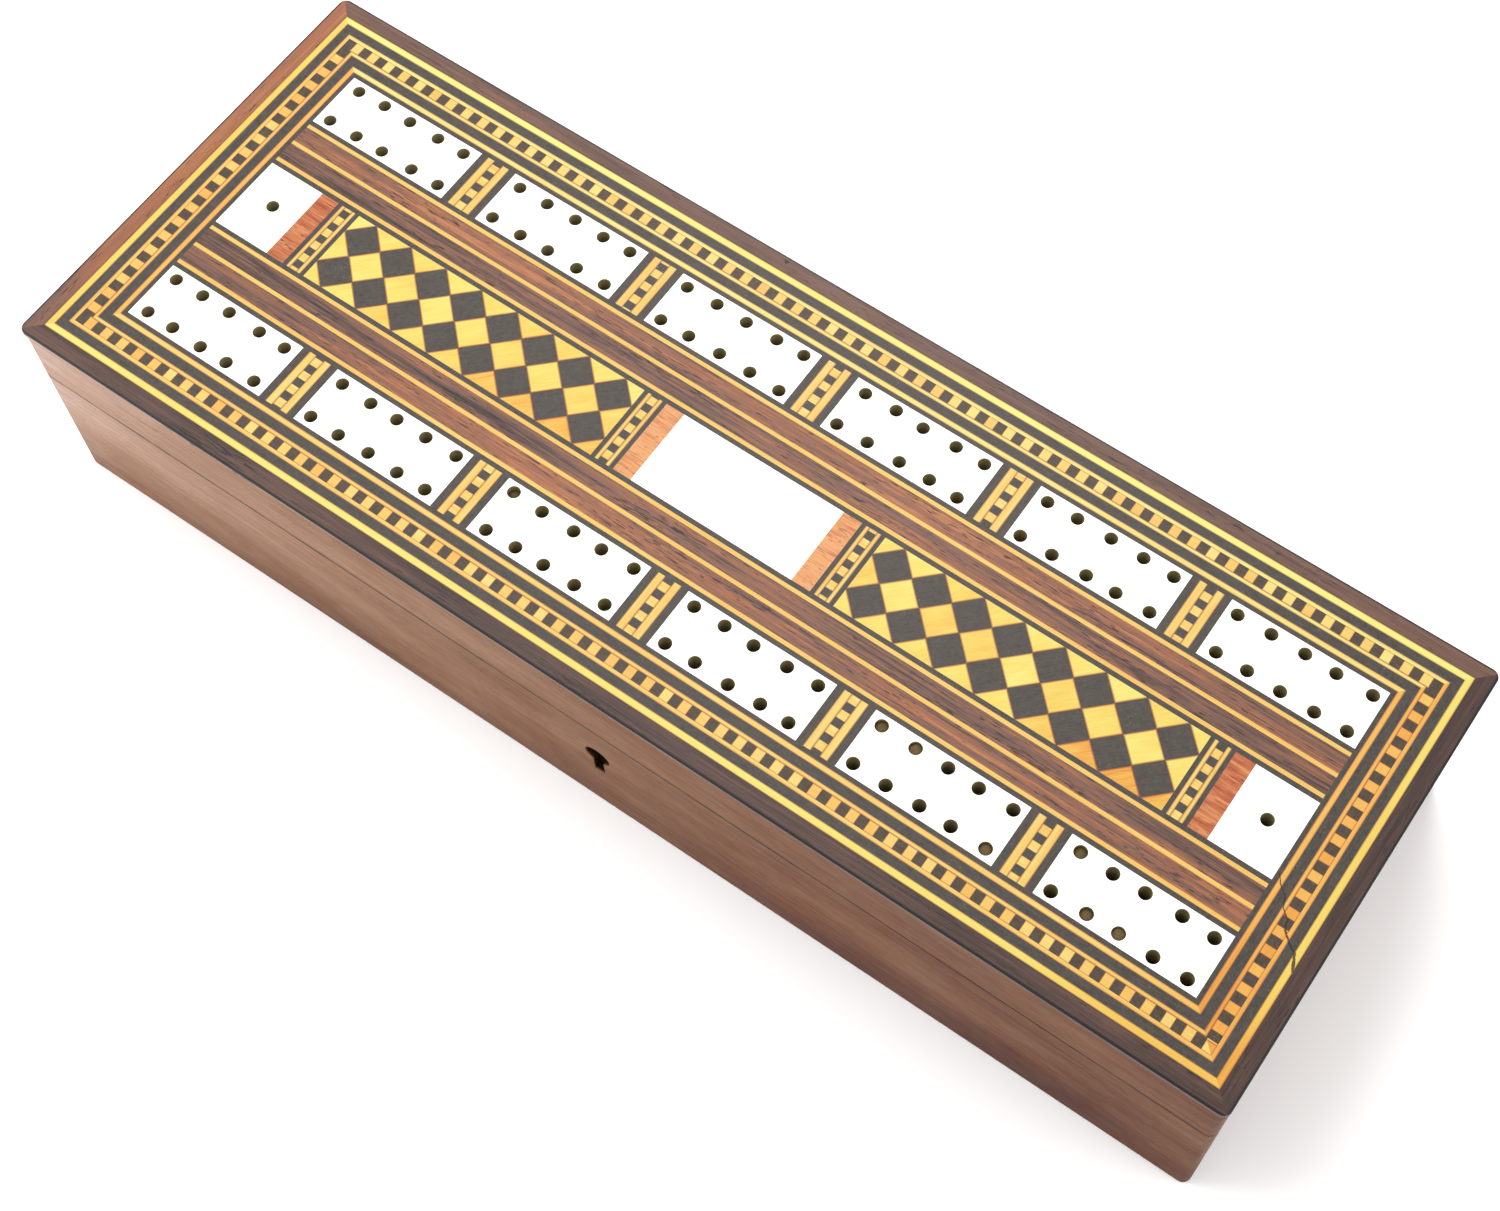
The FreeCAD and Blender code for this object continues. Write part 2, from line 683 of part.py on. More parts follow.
# wood and length of each separator's first piece, from the left, at its lower end
SEPARATOR_STARTS = {
    "back": ((BOXWOOD, 1.75), (BOXWOOD, 0.3), (BOXWOOD, 1.65), (EBONY, 1.25), (BOXWOOD, 1.1)),
    "front": ((EBONY, 0.4), (EBONY, 1.2), (BOXWOOD, 1.5), (EBONY, 0.9), (BOXWOOD, 1.2)),
}
for row, row_side in ROW_SIDES.items():
    y = f"({row_side} * {PLATE_ROW_Y} - {{peg_plate_width}} / 2)"
    for number in PLATES[:-1]:
        start = f"({FIELD_LEFT} + {number} * {PLATE_PITCH} + {{peg_plate_length}})"
        strips = ((separator_ebony, "0"), (separator_boxwood, "{separator_strip}"),
                  (separator_boxwood, f"2 * {{separator_strip}} + {SEPARATOR_CHEQUER}"),
                  (separator_ebony, f"3 * {{separator_strip}} + {SEPARATOR_CHEQUER}"))
        for index, (store, offset) in enumerate(strips):
            store.append(inlay_box(f"separator_{row}_{number}_{index}", "{separator_strip}",
                                   "{peg_plate_width}", f"{start} + {offset}", y))
        first, lead = SEPARATOR_STARTS[row][number]
        cut_strip(f"separator_squares_{row}_{number}", f"{start} + 2 * {{separator_strip}}", y,
                  SEPARATOR_CHEQUER, size("peg_plate_width"), first, lead)

# ---------------------------------------------------------------- bands beside the rows

FIELD_LENGTH = f"(2 * ({HALF_LENGTH} - {FIELD_INSET}))"
band_ebony, band_boxwood, band_rosewood = [], [], []
BAND = ((band_ebony, "{plate_ebony_line}"), (band_boxwood, "{band_boxwood_line}"),
        (band_rosewood, "{band_rosewood_width}"), (band_boxwood, "{band_boxwood_line}"),
        (band_rosewood, "{band_rosewood_width}"), (band_boxwood, "{band_boxwood_line}"),
        (band_ebony, "{plate_ebony_line}"))
for row, row_side in ROW_SIDES.items():
    inner = ROW_HALF
    for index, (store, width) in enumerate(BAND):
        low = inner if row_side > 0 else f"-({inner}) - {width}"
        store.append(inlay_box(f"band_{row}_{index}", FIELD_LENGTH, width, FIELD_LEFT, low))
        inner = f"{inner} + {width}"
part("rosewood_bands", group("RosewoodBands", band_rosewood))
part("band_boxwood_lines", group("BandBoxwoodLines", band_boxwood))
part("band_ebony_lines", group("BandEbonyLines", band_ebony))

# ---------------------------------------------------------------- middle row

LADDER_STARTS = {
    "left_outer": (BOXWOOD, 0.7), "left_inner": (EBONY, 1.0),
    "right_inner": (BOXWOOD, 0.7), "right_outer": (BOXWOOD, 1.6),
}
LADDER = "(2 * {ladder_ebony_line} + 2 * {ladder_boxwood_line} + {ladder_chequer})"
PANEL_START = f"({{end_plate_length}} + {{tulipwood_length}} + {LADDER})"
PANEL_LENGTH = (f"({HALF_LENGTH} - {FIELD_INSET} - {{centre_plate_length}} / 2 - {PANEL_START}"
                f" - {LADDER} - {{tulipwood_length}})")
tulipwood, ladder_ebony, ladder_boxwood = [], [], []


def ladder(name, x):
    """A strip of squares between thin lines, across the middle row."""
    reach = f"2 * {ROW_HALF}"
    low = f"-{ROW_HALF}"
    second = f"{x} + {{ladder_ebony_line}}"
    third = f"{second} + {{ladder_boxwood_line}}"
    fourth = f"{third} + {{ladder_chequer}}"
    fifth = f"{fourth} + {{ladder_boxwood_line}}"
    for store, width, start in ((ladder_ebony, "{ladder_ebony_line}", x),
                                (ladder_boxwood, "{ladder_boxwood_line}", second),
                                (ladder_boxwood, "{ladder_boxwood_line}", fourth),
                                (ladder_ebony, "{ladder_ebony_line}", fifth)):
        store.append(inlay_box(f"ladder_{name}_line_{len(store)}", width, reach, start, low))
    first, lead = LADDER_STARTS[name]
    cut_strip(f"ladder_{name}_squares", third, low, "{ladder_chequer}", value_of(reach), first,
              lead)


PANEL_EDGES = {}
for side_name, side in (("left", -1), ("right", 1)):
    outer_panel = f"({HALF_LENGTH} - {FIELD_INSET} - {PANEL_START})"
    inner_panel = f"({outer_panel} - {PANEL_LENGTH})"
    plate_edge = f"({HALF_LENGTH} - {FIELD_INSET} - {{end_plate_length}})"
    centre_edge = "{centre_plate_length} / 2"
    if side > 0:
        ladder("right_outer", outer_panel)
        ladder("right_inner", f"{inner_panel} - {LADDER}")
        strips = (f"{plate_edge} - {{tulipwood_length}}", centre_edge)
    else:
        ladder("left_outer", f"-{outer_panel} - {LADDER}")
        ladder("left_inner", f"-{inner_panel}")
        strips = (f"-{plate_edge}", f"-{centre_edge} - {{tulipwood_length}}")
    for index, x in enumerate(strips):
        tulipwood.append(inlay_box(f"tulipwood_{side_name}_{index}", "{tulipwood_length}",
                                   f"2 * {ROW_HALF}", x, f"-{ROW_HALF}"))
    PANEL_EDGES[side_name] = inner_panel if side > 0 else f"-{outer_panel}"

part("tulipwood_strips", group("TulipwoodStrips", tulipwood))
part("cross_ebony_lines", group("CrossEbonyLines", separator_ebony + ladder_ebony))
part("cross_boxwood_lines", group("CrossBoxwoodLines", separator_boxwood + ladder_boxwood))
part("border_ebony_squares", group("BorderEbonySquares", border_chequers[EBONY]))
part("border_boxwood_squares", group("BorderBoxwoodSquares", border_chequers[BOXWOOD]))
part("cross_ebony_squares", group("CrossEbonySquares", cross_chequers[EBONY]))
part("cross_boxwood_squares", group("CrossBoxwoodSquares", cross_chequers[BOXWOOD]))

# ---------------------------------------------------------------- parquetry panels

DIAMOND_COLUMNS = 8
DIAMOND_ROWS = 2


def prism(points, base, height):
    corners = [FreeCAD.Vector(x, y, base) for x, y in points]
    face = Part.Face(Part.makePolygon(corners + corners[:1]))
    return face.extrude(FreeCAD.Vector(0, 0, height))


def diamond(x, y, half_x, half_y):
    return [(x - half_x, y), (x, y - half_y), (x + half_x, y), (x, y + half_y)]


def parquetry(start, length, half_width, base, height):
    """Ebony diamonds in two rows, and the lighter pieces that fill the panel round them."""
    half_x = length / DIAMOND_COLUMNS / 2
    half_y = half_width / DIAMOND_ROWS
    dark, light = [], []
    frame = Part.makeBox(length, 2 * half_width, height, FreeCAD.Vector(start, -half_width, base))
    for column in range(2 * DIAMOND_COLUMNS + 1):
        for line in range(-2, 3):
            x = start + column * half_x
            y = line * half_y
            piece = prism(diamond(x, y, half_x, half_y), base, height)
            if column % 2 and line % 2:
                dark.append(piece)
            elif column % 2 == 0 and line % 2 == 0:
                light.extend(piece.common(frame).Solids)
    return dark, light


base_level = value_of(INLAY_BOTTOM)
dark_pieces, light_pieces = [], []
for side_name, edge in PANEL_EDGES.items():
    dark, light = parquetry(value_of(edge), value_of(PANEL_LENGTH), value_of(ROW_HALF),
                            base_level, size("inlay_thickness"))
    dark_pieces += dark
    light_pieces += light
for label, pieces in (("parquetry_ebony_diamonds", dark_pieces),
                      ("parquetry_satinwood_diamonds", light_pieces)):
    feature = doc.addObject("Part::Feature", label)
    feature.Shape = Part.makeCompound(pieces)
    feature.Placement = FreeCAD.Placement()
    part(label, feature)

# ---------------------------------------------------------------- hinges

for level, screws in (("box", box_hinge_screws), ("lid", lid_hinge_screws)):
    part(f"{level}_hinge_leaves",
         group(f"{level}_leaves", [hinge_leaf(level, side, screws) for side in HINGE_SIDES]))
    part(f"{level}_hinge_screws", group(f"{level}_leaf_screws", [made for made, _ in screws]))
part("hinge_pins", group("HingePins", [
    cylinder(f"hinge_pin_{side + 1}", "{pin_radius}", "{hinge_length}", hinge_x(side, -1 / 2),
             HINGE_Y, HINGE_Z, axis="x") for side in HINGE_SIDES]))

# ---------------------------------------------------------------- lock

HOOK_OFFSETS = (-10.0, 8.5)
HOOK_PLAY = 0.6
HOOK_SWING = 0.9
HOOK_SLOT_DEPTH = "2.6"
HOOK_SLOT_HEIGHT = "4"
HOOK_TIP = 1.3
HOOK_FOOT = f"({LID_BOTTOM} - {{hook_length}})"
NIB_REST = 0.5
NIB_LENGTH = "3"
NIB_PLAY = 0.3
NIB_BOTTOM = f"({HOOK_FOOT} + {HOOK_TIP})"
POST_LENGTH = "2.2"
POST_OFFSET = 2
BOLT_INSET = 1.9
BOLT_FRONT = f"({WALL_BACK} - {BOLT_INSET})"
BAR_LIFT = 2.2
BAR_BOTTOM = f"({{keyhole_height}} + {BAR_LIFT})"
BAR_HEIGHT = "2.4"
BAR_LENGTH = "28.6"
BAR_REACH = 13
SADDLE_DROP = 3.6
SADDLE_TOP = f"({{base_height}} - {SADDLE_DROP})"
SADDLE_OFFSET = 1.6
SADDLE_X = f"({LOCK_X} + {SADDLE_OFFSET})"
SADDLE_HALF = 4.2
TALON_LENGTH = "3.4"
TALON_DEPTH = "1.3"
TALON_OFFSET = 2.8
REST_OFFSETS = (-12.5, 9.5)
REST_LENGTH = "3"
REST_HEIGHT = "1.4"
KEY_PIN_FOOT = 0.8


def hook_slots(name):
    """Room for both hooks in the plate's top edge, with play for the swing of the lid."""
    return [box(f"{name}_{number}", f"{{hook_width}} + 2 * {HOOK_PLAY}", HOOK_SLOT_DEPTH,
                HOOK_SLOT_HEIGHT, f"{LOCK_X} + {offset} - {{hook_width}} / 2 - {HOOK_PLAY}",
                f"{BOLT_FRONT} - {HOOK_SWING}", f"{CASE_TOP} - {CUT_MARGIN}")
            for number, offset in enumerate(HOOK_OFFSETS)]


plate_flat = lock_box("plate_flat", "{lock_plate_length} / 2", "{lock_plate_thickness}",
                      "{lock_plate_height}", WALL_BACK, "{base_height} - {lock_plate_height}")
selvedge = lock_box("selvedge", "{lock_plate_length} / 2", f"{WALL_BACK} - {SELVEDGE_FRONT}",
                    "{lock_plate_thickness}", SELVEDGE_FRONT, CASE_TOP)
plate_body = fuse("plate_body", [plate_flat, selvedge])
part("lock_plate", cut("LockPlate", plate_body,
                       group("plate_rooms", hook_slots("hook_slot") + bodies(lock_screw_set))))

case_block = lock_box("case_block", "{lock_case_length} / 2", "{lock_case_depth}",
                      "{lock_case_height}", CASE_FRONT, f"{CASE_TOP} - {{lock_case_height}}")
case_hollow = lock_box("case_hollow", "{lock_case_length} / 2 - {lock_case_wall}",
                       "{lock_case_depth} - {lock_case_wall}",
                       "{lock_case_height} - {lock_case_wall}",
                       f"{CASE_FRONT} + {{lock_case_wall}}",
                       f"{CASE_TOP} - {{lock_case_height}} + {{lock_case_wall}}")
case_shell = cut("case_shell", case_block,
                 group("case_rooms", [case_hollow,
                                      keyhole("case_keyhole", f"{CASE_FRONT} - {CUT_MARGIN}",
                                              f"{{lock_case_wall}} + 2 * {CUT_MARGIN}")]))
bolt_rests = [box(f"bolt_rest_{number}", REST_LENGTH, "{lock_case_depth} - {lock_case_wall}",
                  REST_HEIGHT, f"{LOCK_X} + {offset}", f"{CASE_FRONT} + {{lock_case_wall}}",
                  f"{BAR_BOTTOM} - {REST_HEIGHT}")
              for number, offset in enumerate(REST_OFFSETS)]
part("lock_case", fuse("LockCase", [case_shell] + bolt_rests))

bolt_pieces = [
    box("bolt_bar", BAR_LENGTH, "{bolt_thickness}", BAR_HEIGHT, f"{LOCK_X} - {BAR_REACH}",
        BOLT_FRONT, BAR_BOTTOM),
    box("bolt_saddle", f"2 * {SADDLE_HALF}", "{bolt_thickness}", f"{SADDLE_TOP} - {BAR_BOTTOM}",
        f"{SADDLE_X} - {SADDLE_HALF}", BOLT_FRONT, BAR_BOTTOM)]
for number, offset in enumerate(HOOK_OFFSETS):
    nib_tip = f"{LOCK_X} + {offset} + {{hook_width}} / 2 + {NIB_REST}"
    bolt_pieces.append(box(f"bolt_post_{number}", POST_LENGTH, "{bolt_thickness}",
                           f"{NIB_BOTTOM} + {{nib_height}} - {BAR_BOTTOM}",
                           f"{nib_tip} + {POST_OFFSET}", BOLT_FRONT, BAR_BOTTOM))
    bolt_pieces.append(box(f"bolt_nib_{number}", NIB_LENGTH, "{bolt_thickness}",
                           "{nib_height}", nib_tip, BOLT_FRONT, NIB_BOTTOM))
talon = box("bolt_talon", TALON_LENGTH, "{bolt_thickness}", TALON_DEPTH,
            f"{LOCK_X} - {TALON_OFFSET}", BOLT_FRONT, BAR_BOTTOM)
part("lock_bolt", cut("LockBolt", fuse("bolt_solid", bolt_pieces), talon))

part("key_pin", cylinder("KeyPin", "{key_pin_radius}", f"{{lock_case_depth}} - {KEY_PIN_FOOT}",
                         LOCK_X, f"{CASE_FRONT} + {KEY_PIN_FOOT}", "{keyhole_height}", axis="y"))

SPRING_HALF = 3.4
SPRING_STRIP = 0.3
SPRING_DEPTH = 1.2
SPRING_INSET = 0.1
SPRING_CLEARANCE = 0.1


def bow_spring(middle, low_y, foot, crown):
    """A thin bow of spring steel between the bolt's saddle and the plate above it."""
    rise = crown - foot - SPRING_STRIP

    def arc(lift):
        ends = [FreeCAD.Vector(middle + side * SPRING_HALF, low_y, foot + lift)
                for side in (-1, 1)]
        top = FreeCAD.Vector(middle, low_y, foot + lift + rise)
        return Part.Arc(ends[0], top, ends[1]).toShape(), ends

    lower, lower_ends = arc(0)
    upper, upper_ends = arc(SPRING_STRIP)
    ends = [Part.makeLine(low, high) for low, high in zip(lower_ends, upper_ends)]
    face = Part.Face(Part.Wire(Part.__sortEdges__([lower, upper] + ends)))
    return face.extrude(FreeCAD.Vector(0, SPRING_DEPTH, 0))


spring = doc.addObject("Part::Feature", "LockSpring")
spring.Shape = bow_spring(value_of(SADDLE_X), value_of(f"{BOLT_FRONT} + {SPRING_INSET}"),
                          value_of(SADDLE_TOP), value_of(f"{CASE_TOP} - {SPRING_CLEARANCE}"))
spring.Placement = FreeCAD.Placement()
part("lock_spring", spring)
part("lock_screws", group("LockScrews", [made for made, _ in lock_screw_set]))

strike_flat = lock_box("strike_flat", "{lock_plate_length} / 2",
                       f"{WALL_BACK} - {SELVEDGE_FRONT}", "{lock_plate_thickness}",
                       SELVEDGE_FRONT, LID_BOTTOM)
hooks = []
for number, offset in enumerate(HOOK_OFFSETS):
    stem = box(f"hook_stem_{number}", "{hook_width}", "{bolt_thickness}", "{hook_length}",
               f"{LOCK_X} + {offset} - {{hook_width}} / 2", BOLT_FRONT, HOOK_FOOT)
    notch = box(f"hook_notch_{number}", "{hook_width} / 2", "{bolt_thickness}",
                f"{{nib_height}} + 2 * {NIB_PLAY}", f"{LOCK_X} + {offset}", BOLT_FRONT,
                f"{NIB_BOTTOM} - {NIB_PLAY}")
    hooks.append(cut(f"hook_{number}", stem, notch))
strike_body = fuse("strike_body", [strike_flat] + hooks)
part("strike_plate", cut("StrikePlate", strike_body,
                         group("strike_rooms", bodies(strike_screw_set))))
part("strike_screws", group("StrikeScrews", [made for made, _ in strike_screw_set]))

# ---------------------------------------------------------------- check and write

doc.recompute()
for item in doc.Objects:
    if "Invalid" in item.State or "Error" in item.State:
        raise RuntimeError(f"{item.Label} did not compute: {item.State}")
for item in PARTS:
    if item.Shape.isNull() or not item.Shape.isValid() or item.Shape.Volume <= 0:
        raise RuntimeError(f"{item.Label} has no valid shape")
os.makedirs("parts", exist_ok=True)
for item in PARTS:
    item.Shape.exportStep(f"parts/{item.Label}.step")
print(len(PARTS), "parts written")
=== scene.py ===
import json
import math
import random

import bmesh
import bpy
from mathutils import Euler, Matrix, Vector


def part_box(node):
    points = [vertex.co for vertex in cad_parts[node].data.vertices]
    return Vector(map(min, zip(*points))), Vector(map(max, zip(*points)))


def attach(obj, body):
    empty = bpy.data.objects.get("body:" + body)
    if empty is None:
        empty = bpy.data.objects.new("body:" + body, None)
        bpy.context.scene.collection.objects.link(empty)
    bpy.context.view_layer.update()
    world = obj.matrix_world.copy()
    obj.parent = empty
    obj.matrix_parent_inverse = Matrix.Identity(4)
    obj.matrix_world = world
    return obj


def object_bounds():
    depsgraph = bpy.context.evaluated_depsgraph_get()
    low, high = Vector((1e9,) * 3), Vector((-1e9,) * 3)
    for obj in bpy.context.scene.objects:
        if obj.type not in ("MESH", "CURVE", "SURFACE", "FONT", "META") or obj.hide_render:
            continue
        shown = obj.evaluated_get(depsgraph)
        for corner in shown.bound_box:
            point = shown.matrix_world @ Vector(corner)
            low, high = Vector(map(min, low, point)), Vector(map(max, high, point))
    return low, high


# Hinged cribbage box with a marquetry lid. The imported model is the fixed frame; this script gives
# every part its timber, bone or metal and adds the dust in some of the peg holes.

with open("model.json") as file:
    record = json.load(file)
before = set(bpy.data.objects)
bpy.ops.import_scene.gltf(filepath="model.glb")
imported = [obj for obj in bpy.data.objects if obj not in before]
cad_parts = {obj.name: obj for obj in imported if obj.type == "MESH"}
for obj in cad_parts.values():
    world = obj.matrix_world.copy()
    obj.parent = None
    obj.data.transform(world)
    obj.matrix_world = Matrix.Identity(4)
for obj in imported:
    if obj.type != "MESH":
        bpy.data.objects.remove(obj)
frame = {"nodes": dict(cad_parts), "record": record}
cad_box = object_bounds()
nodes = frame["nodes"]
MM = 0.001

# ---------------------------------------------------------------- light level and colours

TOP_LIGHT = 1.95
SIDE_LIGHT = 1.37
SHEEN_LIGHT = 0.055


def linear(channel):
    value = channel / 255
    return value / 12.92 if value <= 0.04045 else ((value + 0.055) / 1.055) ** 2.4


def albedo(red, green, blue, light=TOP_LIGHT, sheen=SHEEN_LIGHT):
    """Surface colour that shows as this sRGB colour in that much light, under a soft sheen."""
    return tuple(max(linear(channel) - sheen, 0.004) / light
                 for channel in (red, green, blue)) + (1.0,)


def side_albedo(red, green, blue):
    return albedo(red, green, blue, SIDE_LIGHT, 0.045)


# ---------------------------------------------------------------- the lid's layout, in mm

HALF_LENGTH = (cad_box[1][0] - cad_box[0][0]) / 2 / MM
HALF_WIDTH = (cad_box[1][1] - cad_box[0][1]) / 2 / MM
TOP = cad_box[1][2] / MM


def corner_mm(node, corner, axis):
    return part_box(node)[corner][axis] / MM


FRAME_NODES = ("satinwood_line", "ebony_outer_line", "boxwood_outer_line",
               "boxwood_inner_line", "ebony_inner_line", "boxwood_fillet", "ebony_field_line")
FRAME_EDGES = [HALF_LENGTH - corner_mm(node, 1, 0) for node in FRAME_NODES]
CHEQUER_OUTSIDE = HALF_LENGTH - corner_mm("border_ebony_squares", 1, 0)
CHEQUER_WIDTH = FRAME_EDGES[3] - CHEQUER_OUTSIDE
NEAR_CELLS = 126
FAR_CELLS = 125
SHORT_CELLS = 37
LEFT_ENDS = (1.0, 2.25)
RIGHT_ENDS = (1.7, 1.35)
FIELD_END = -corner_mm("end_plate_left", 0, 0)
PLATE_LENGTH = corner_mm("peg_plate_front_1", 1, 0) + FIELD_END
PLATE_PITCH = corner_mm("peg_plate_front_2", 0, 0) + FIELD_END
PLATE_INSIDE = corner_mm("peg_plate_back_1", 0, 1)
PLATE_OUTSIDE = corner_mm("peg_plate_back_1", 1, 1)
SEPARATOR_EDGES = (1.03, 2.68)
ROW_HALF = corner_mm("centre_plate", 1, 1)
JOINT_LEVEL = (corner_mm("base_front_wall", 1, 2) + corner_mm("lid_front_rail", 0, 2)) / 2
KEYHOLE_X = 1.4
KEYHOLE_Z = 22.7
LADDER_CENTRES = (25.56, 102.19)
LADDER_EDGES = (0.9, 1.73)
PANEL_START = 28.22
PANEL_END = 99.53
PANEL_HALF_DIAMONDS = 16
DIAMOND_X = (PANEL_END - PANEL_START) / PANEL_HALF_DIAMONDS
DIAMOND_Y = ROW_HALF / 2
DIAMOND_DEPTH = 2 * DIAMOND_X * DIAMOND_Y / math.hypot(DIAMOND_X, DIAMOND_Y)
CELL_SHIFT = 20.5
SEAM_REACH = 0.3
SQUARE_SIDE_REACH = 0.22
SQUARE_END_REACH = 0.09
DIAMOND_SEAM_REACH = 0.42

# ---------------------------------------------------------------- node building


class Tree:
    """A material's node tree. Each method adds nodes and returns an output socket."""

    def __init__(self, name):
        self.material = bpy.data.materials.new(name)
        self.material.use_nodes = True
        self.nodes = self.material.node_tree.nodes
        self.links = self.material.node_tree.links
        self.shader = self.nodes["Principled BSDF"]
        coordinates = self.add("ShaderNodeTexCoord").outputs["Object"]
        self.place = self.vector("MULTIPLY", coordinates, (1 / MM, 1 / MM, 1 / MM))
        self.x, self.y, self.z = self.split(self.place)

    def add(self, kind, **settings):
        node = self.nodes.new(kind)
        for key, value in settings.items():
            setattr(node, key, value)
        return node

    def feed(self, socket, value):
        if isinstance(value, bpy.types.NodeSocket):
            self.links.new(value, socket)
        else:
            socket.default_value = value

    def math(self, operation, first, second=0.0):
        node = self.add("ShaderNodeMath", operation=operation)
        self.feed(node.inputs[0], first)
        self.feed(node.inputs[1], second)
        return node.outputs[0]

    def plus(self, first, second):
        return self.math("ADD", first, second)

    def minus(self, first, second):
        return self.math("SUBTRACT", first, second)

    def times(self, first, second):
        return self.math("MULTIPLY", first, second)

    def size(self, value):
        return self.math("ABSOLUTE", value)

    def sign(self, value):
        return self.math("SIGN", value)

    def vector(self, operation, first, second):
        node = self.add("ShaderNodeVectorMath", operation=operation)
        self.feed(node.inputs[0], first)
        self.feed(node.inputs[1], second)
        return node.outputs[0]

    def split(self, vector):
        node = self.add("ShaderNodeSeparateXYZ")
        self.feed(node.inputs[0], vector)
        return node.outputs

    def join(self, x, y, z=0.0):
        node = self.add("ShaderNodeCombineXYZ")
        for socket, value in zip(node.inputs, (x, y, z)):
            self.feed(socket, value)
        return node.outputs[0]

    def chance(self, x, y, z=0.0):
        """A number from 0 to 1 that depends on three whole numbers."""
        node = self.add("ShaderNodeTexWhiteNoise", noise_dimensions="3D")
        self.feed(node.inputs["Vector"], self.join(x, y, z))
        return node.outputs["Value"]

    def noise(self, vector, scale=1.0, detail=2.0, roughness=0.5, distortion=0.0):
        node = self.add("ShaderNodeTexNoise")
        self.feed(node.inputs["Vector"], vector)
        node.inputs["Scale"].default_value = scale
        node.inputs["Detail"].default_value = detail
        node.inputs["Roughness"].default_value = roughness
        node.inputs["Distortion"].default_value = distortion
        return node.outputs["Fac"]

    def ramp(self, value, colours):
        """Evenly spaced colours from 0 to 1."""
        node = self.add("ShaderNodeValToRGB")
        self.feed(node.inputs[0], value)
        elements = node.color_ramp.elements
        while len(elements) < len(colours):
            elements.new(0.5)
        for index, (element, colour) in enumerate(zip(elements, colours)):
            element.position = index / (len(colours) - 1)
            element.color = colour
        return node.outputs[0]

    def step(self, value, low, high):
        """0 at low, 1 at high, smooth between; low may be above high."""
        node = self.add("ShaderNodeMapRange", interpolation_type="SMOOTHSTEP")
        self.feed(node.inputs["Value"], value)
        node.inputs["From Min"].default_value = low
        node.inputs["From Max"].default_value = high
        return node.outputs[0]

    def mix(self, factor, first, second):
        node = self.add("ShaderNodeMix", data_type="RGBA")
        self.feed(node.inputs["Factor"], factor)
        self.feed(node.inputs[6], first)
        self.feed(node.inputs[7], second)
        return node.outputs[2]

    def choose(self, factor, first, second):
        """Number mix: first where factor is 0, second where it is 1."""
        return self.plus(first, self.times(factor, self.minus(second, first)))

    def either(self, masks):
        result = masks[0]
        for mask in masks[1:]:
            result = self.math("MAXIMUM", result, mask)
        return result

    def near(self, value, edges, reach):
        """1 where the value is one of the edges, down to 0 at reach from them."""
        return self.either([self.step(self.size(self.minus(value, edge)), reach, 0.0)
                            for edge in edges])

    def spot(self, x, y, radius):
        """1 inside a soft round mark on the lid."""
        away = self.math("POWER", self.plus(self.math("POWER", self.minus(self.x, x), 2.0),
                                            self.math("POWER", self.minus(self.y, y), 2.0)), 0.5)
        ragged = self.plus(away, self.times(self.noise(self.place, 1.5, 3.0), radius))
        return self.step(ragged, 1.6 * radius, 0.9 * radius)

    def bump(self, height, depth_mm, normal=None):
        node = self.add("ShaderNodeBump")
        node.inputs["Distance"].default_value = depth_mm * MM
        self.feed(node.inputs["Height"], height)
        if normal is not None:
            self.feed(node.inputs["Normal"], normal)
        return node.outputs[0]

    def finish(self, colour, roughness, normal, **constants):
        self.feed(self.shader.inputs["Base Color"], colour)
        self.feed(self.shader.inputs["Roughness"], roughness)
        self.feed(self.shader.inputs["Normal"], normal)
        for name, value in constants.items():
            self.shader.inputs[name.replace("_", " ")].default_value = value
        return self.material


# ---------------------------------------------------------------- where a point is on the lid


class Border:
    """The mitred frame: which strip a point is in, how far in from the edge, how far along."""

    def __init__(self, tree):
        to_end = tree.minus(HALF_LENGTH, tree.size(tree.x))
        to_side = tree.minus(HALF_WIDTH, tree.size(tree.y))
        self.end = tree.math("LESS_THAN", to_end, to_side)
        self.inset = tree.math("MINIMUM", to_end, to_side)
        self.along = tree.choose(self.end, tree.x, tree.y)
        self.across = tree.choose(self.end, tree.y, tree.x)
        self.side = tree.sign(self.across)


def along_grain(tree, direction):
    """Place in mm, turned so that its first axis runs along the grain."""
    if direction == "x":
        return tree.place
    if direction == "y":
        return tree.join(tree.y, tree.x, tree.z)
    if direction == "diagonal":
        return tree.join(tree.plus(tree.x, tree.y), tree.minus(tree.x, tree.y), tree.z)
    border = Border(tree)
    return tree.join(border.along, border.across, tree.z)


def strip_number(tree):
    border = Border(tree)
    return tree.chance(border.end, border.side, 3.0)


def border_cell(tree):
    """Square number along the border's chequer, with the fraction of the square."""
    border = Border(tree)
    long_reach = HALF_LENGTH - CHEQUER_OUTSIDE
    short_reach = HALF_WIDTH - CHEQUER_OUTSIDE - CHEQUER_WIDTH
    onward = tree.math("GREATER_THAN", border.side, 0.0)

    def cell(place, reach, count, ends):
        low, high = ends
        return tree.times(tree.plus(place, reach - low), count / (2 * reach - low - high))

    long_cell = tree.choose(onward, cell(tree.x, long_reach, NEAR_CELLS, (0, 0)),
                            cell(tree.x, long_reach, FAR_CELLS, (0, 0)))
    short_cell = tree.choose(onward, cell(tree.y, short_reach, SHORT_CELLS, LEFT_ENDS),
                             cell(tree.y, short_reach, SHORT_CELLS, RIGHT_ENDS))
    return border, tree.choose(border.end, long_cell, short_cell)


def border_square(tree):
    border, cell = border_cell(tree)
    return tree.chance(tree.math("FLOOR", cell), border.side, border.end)


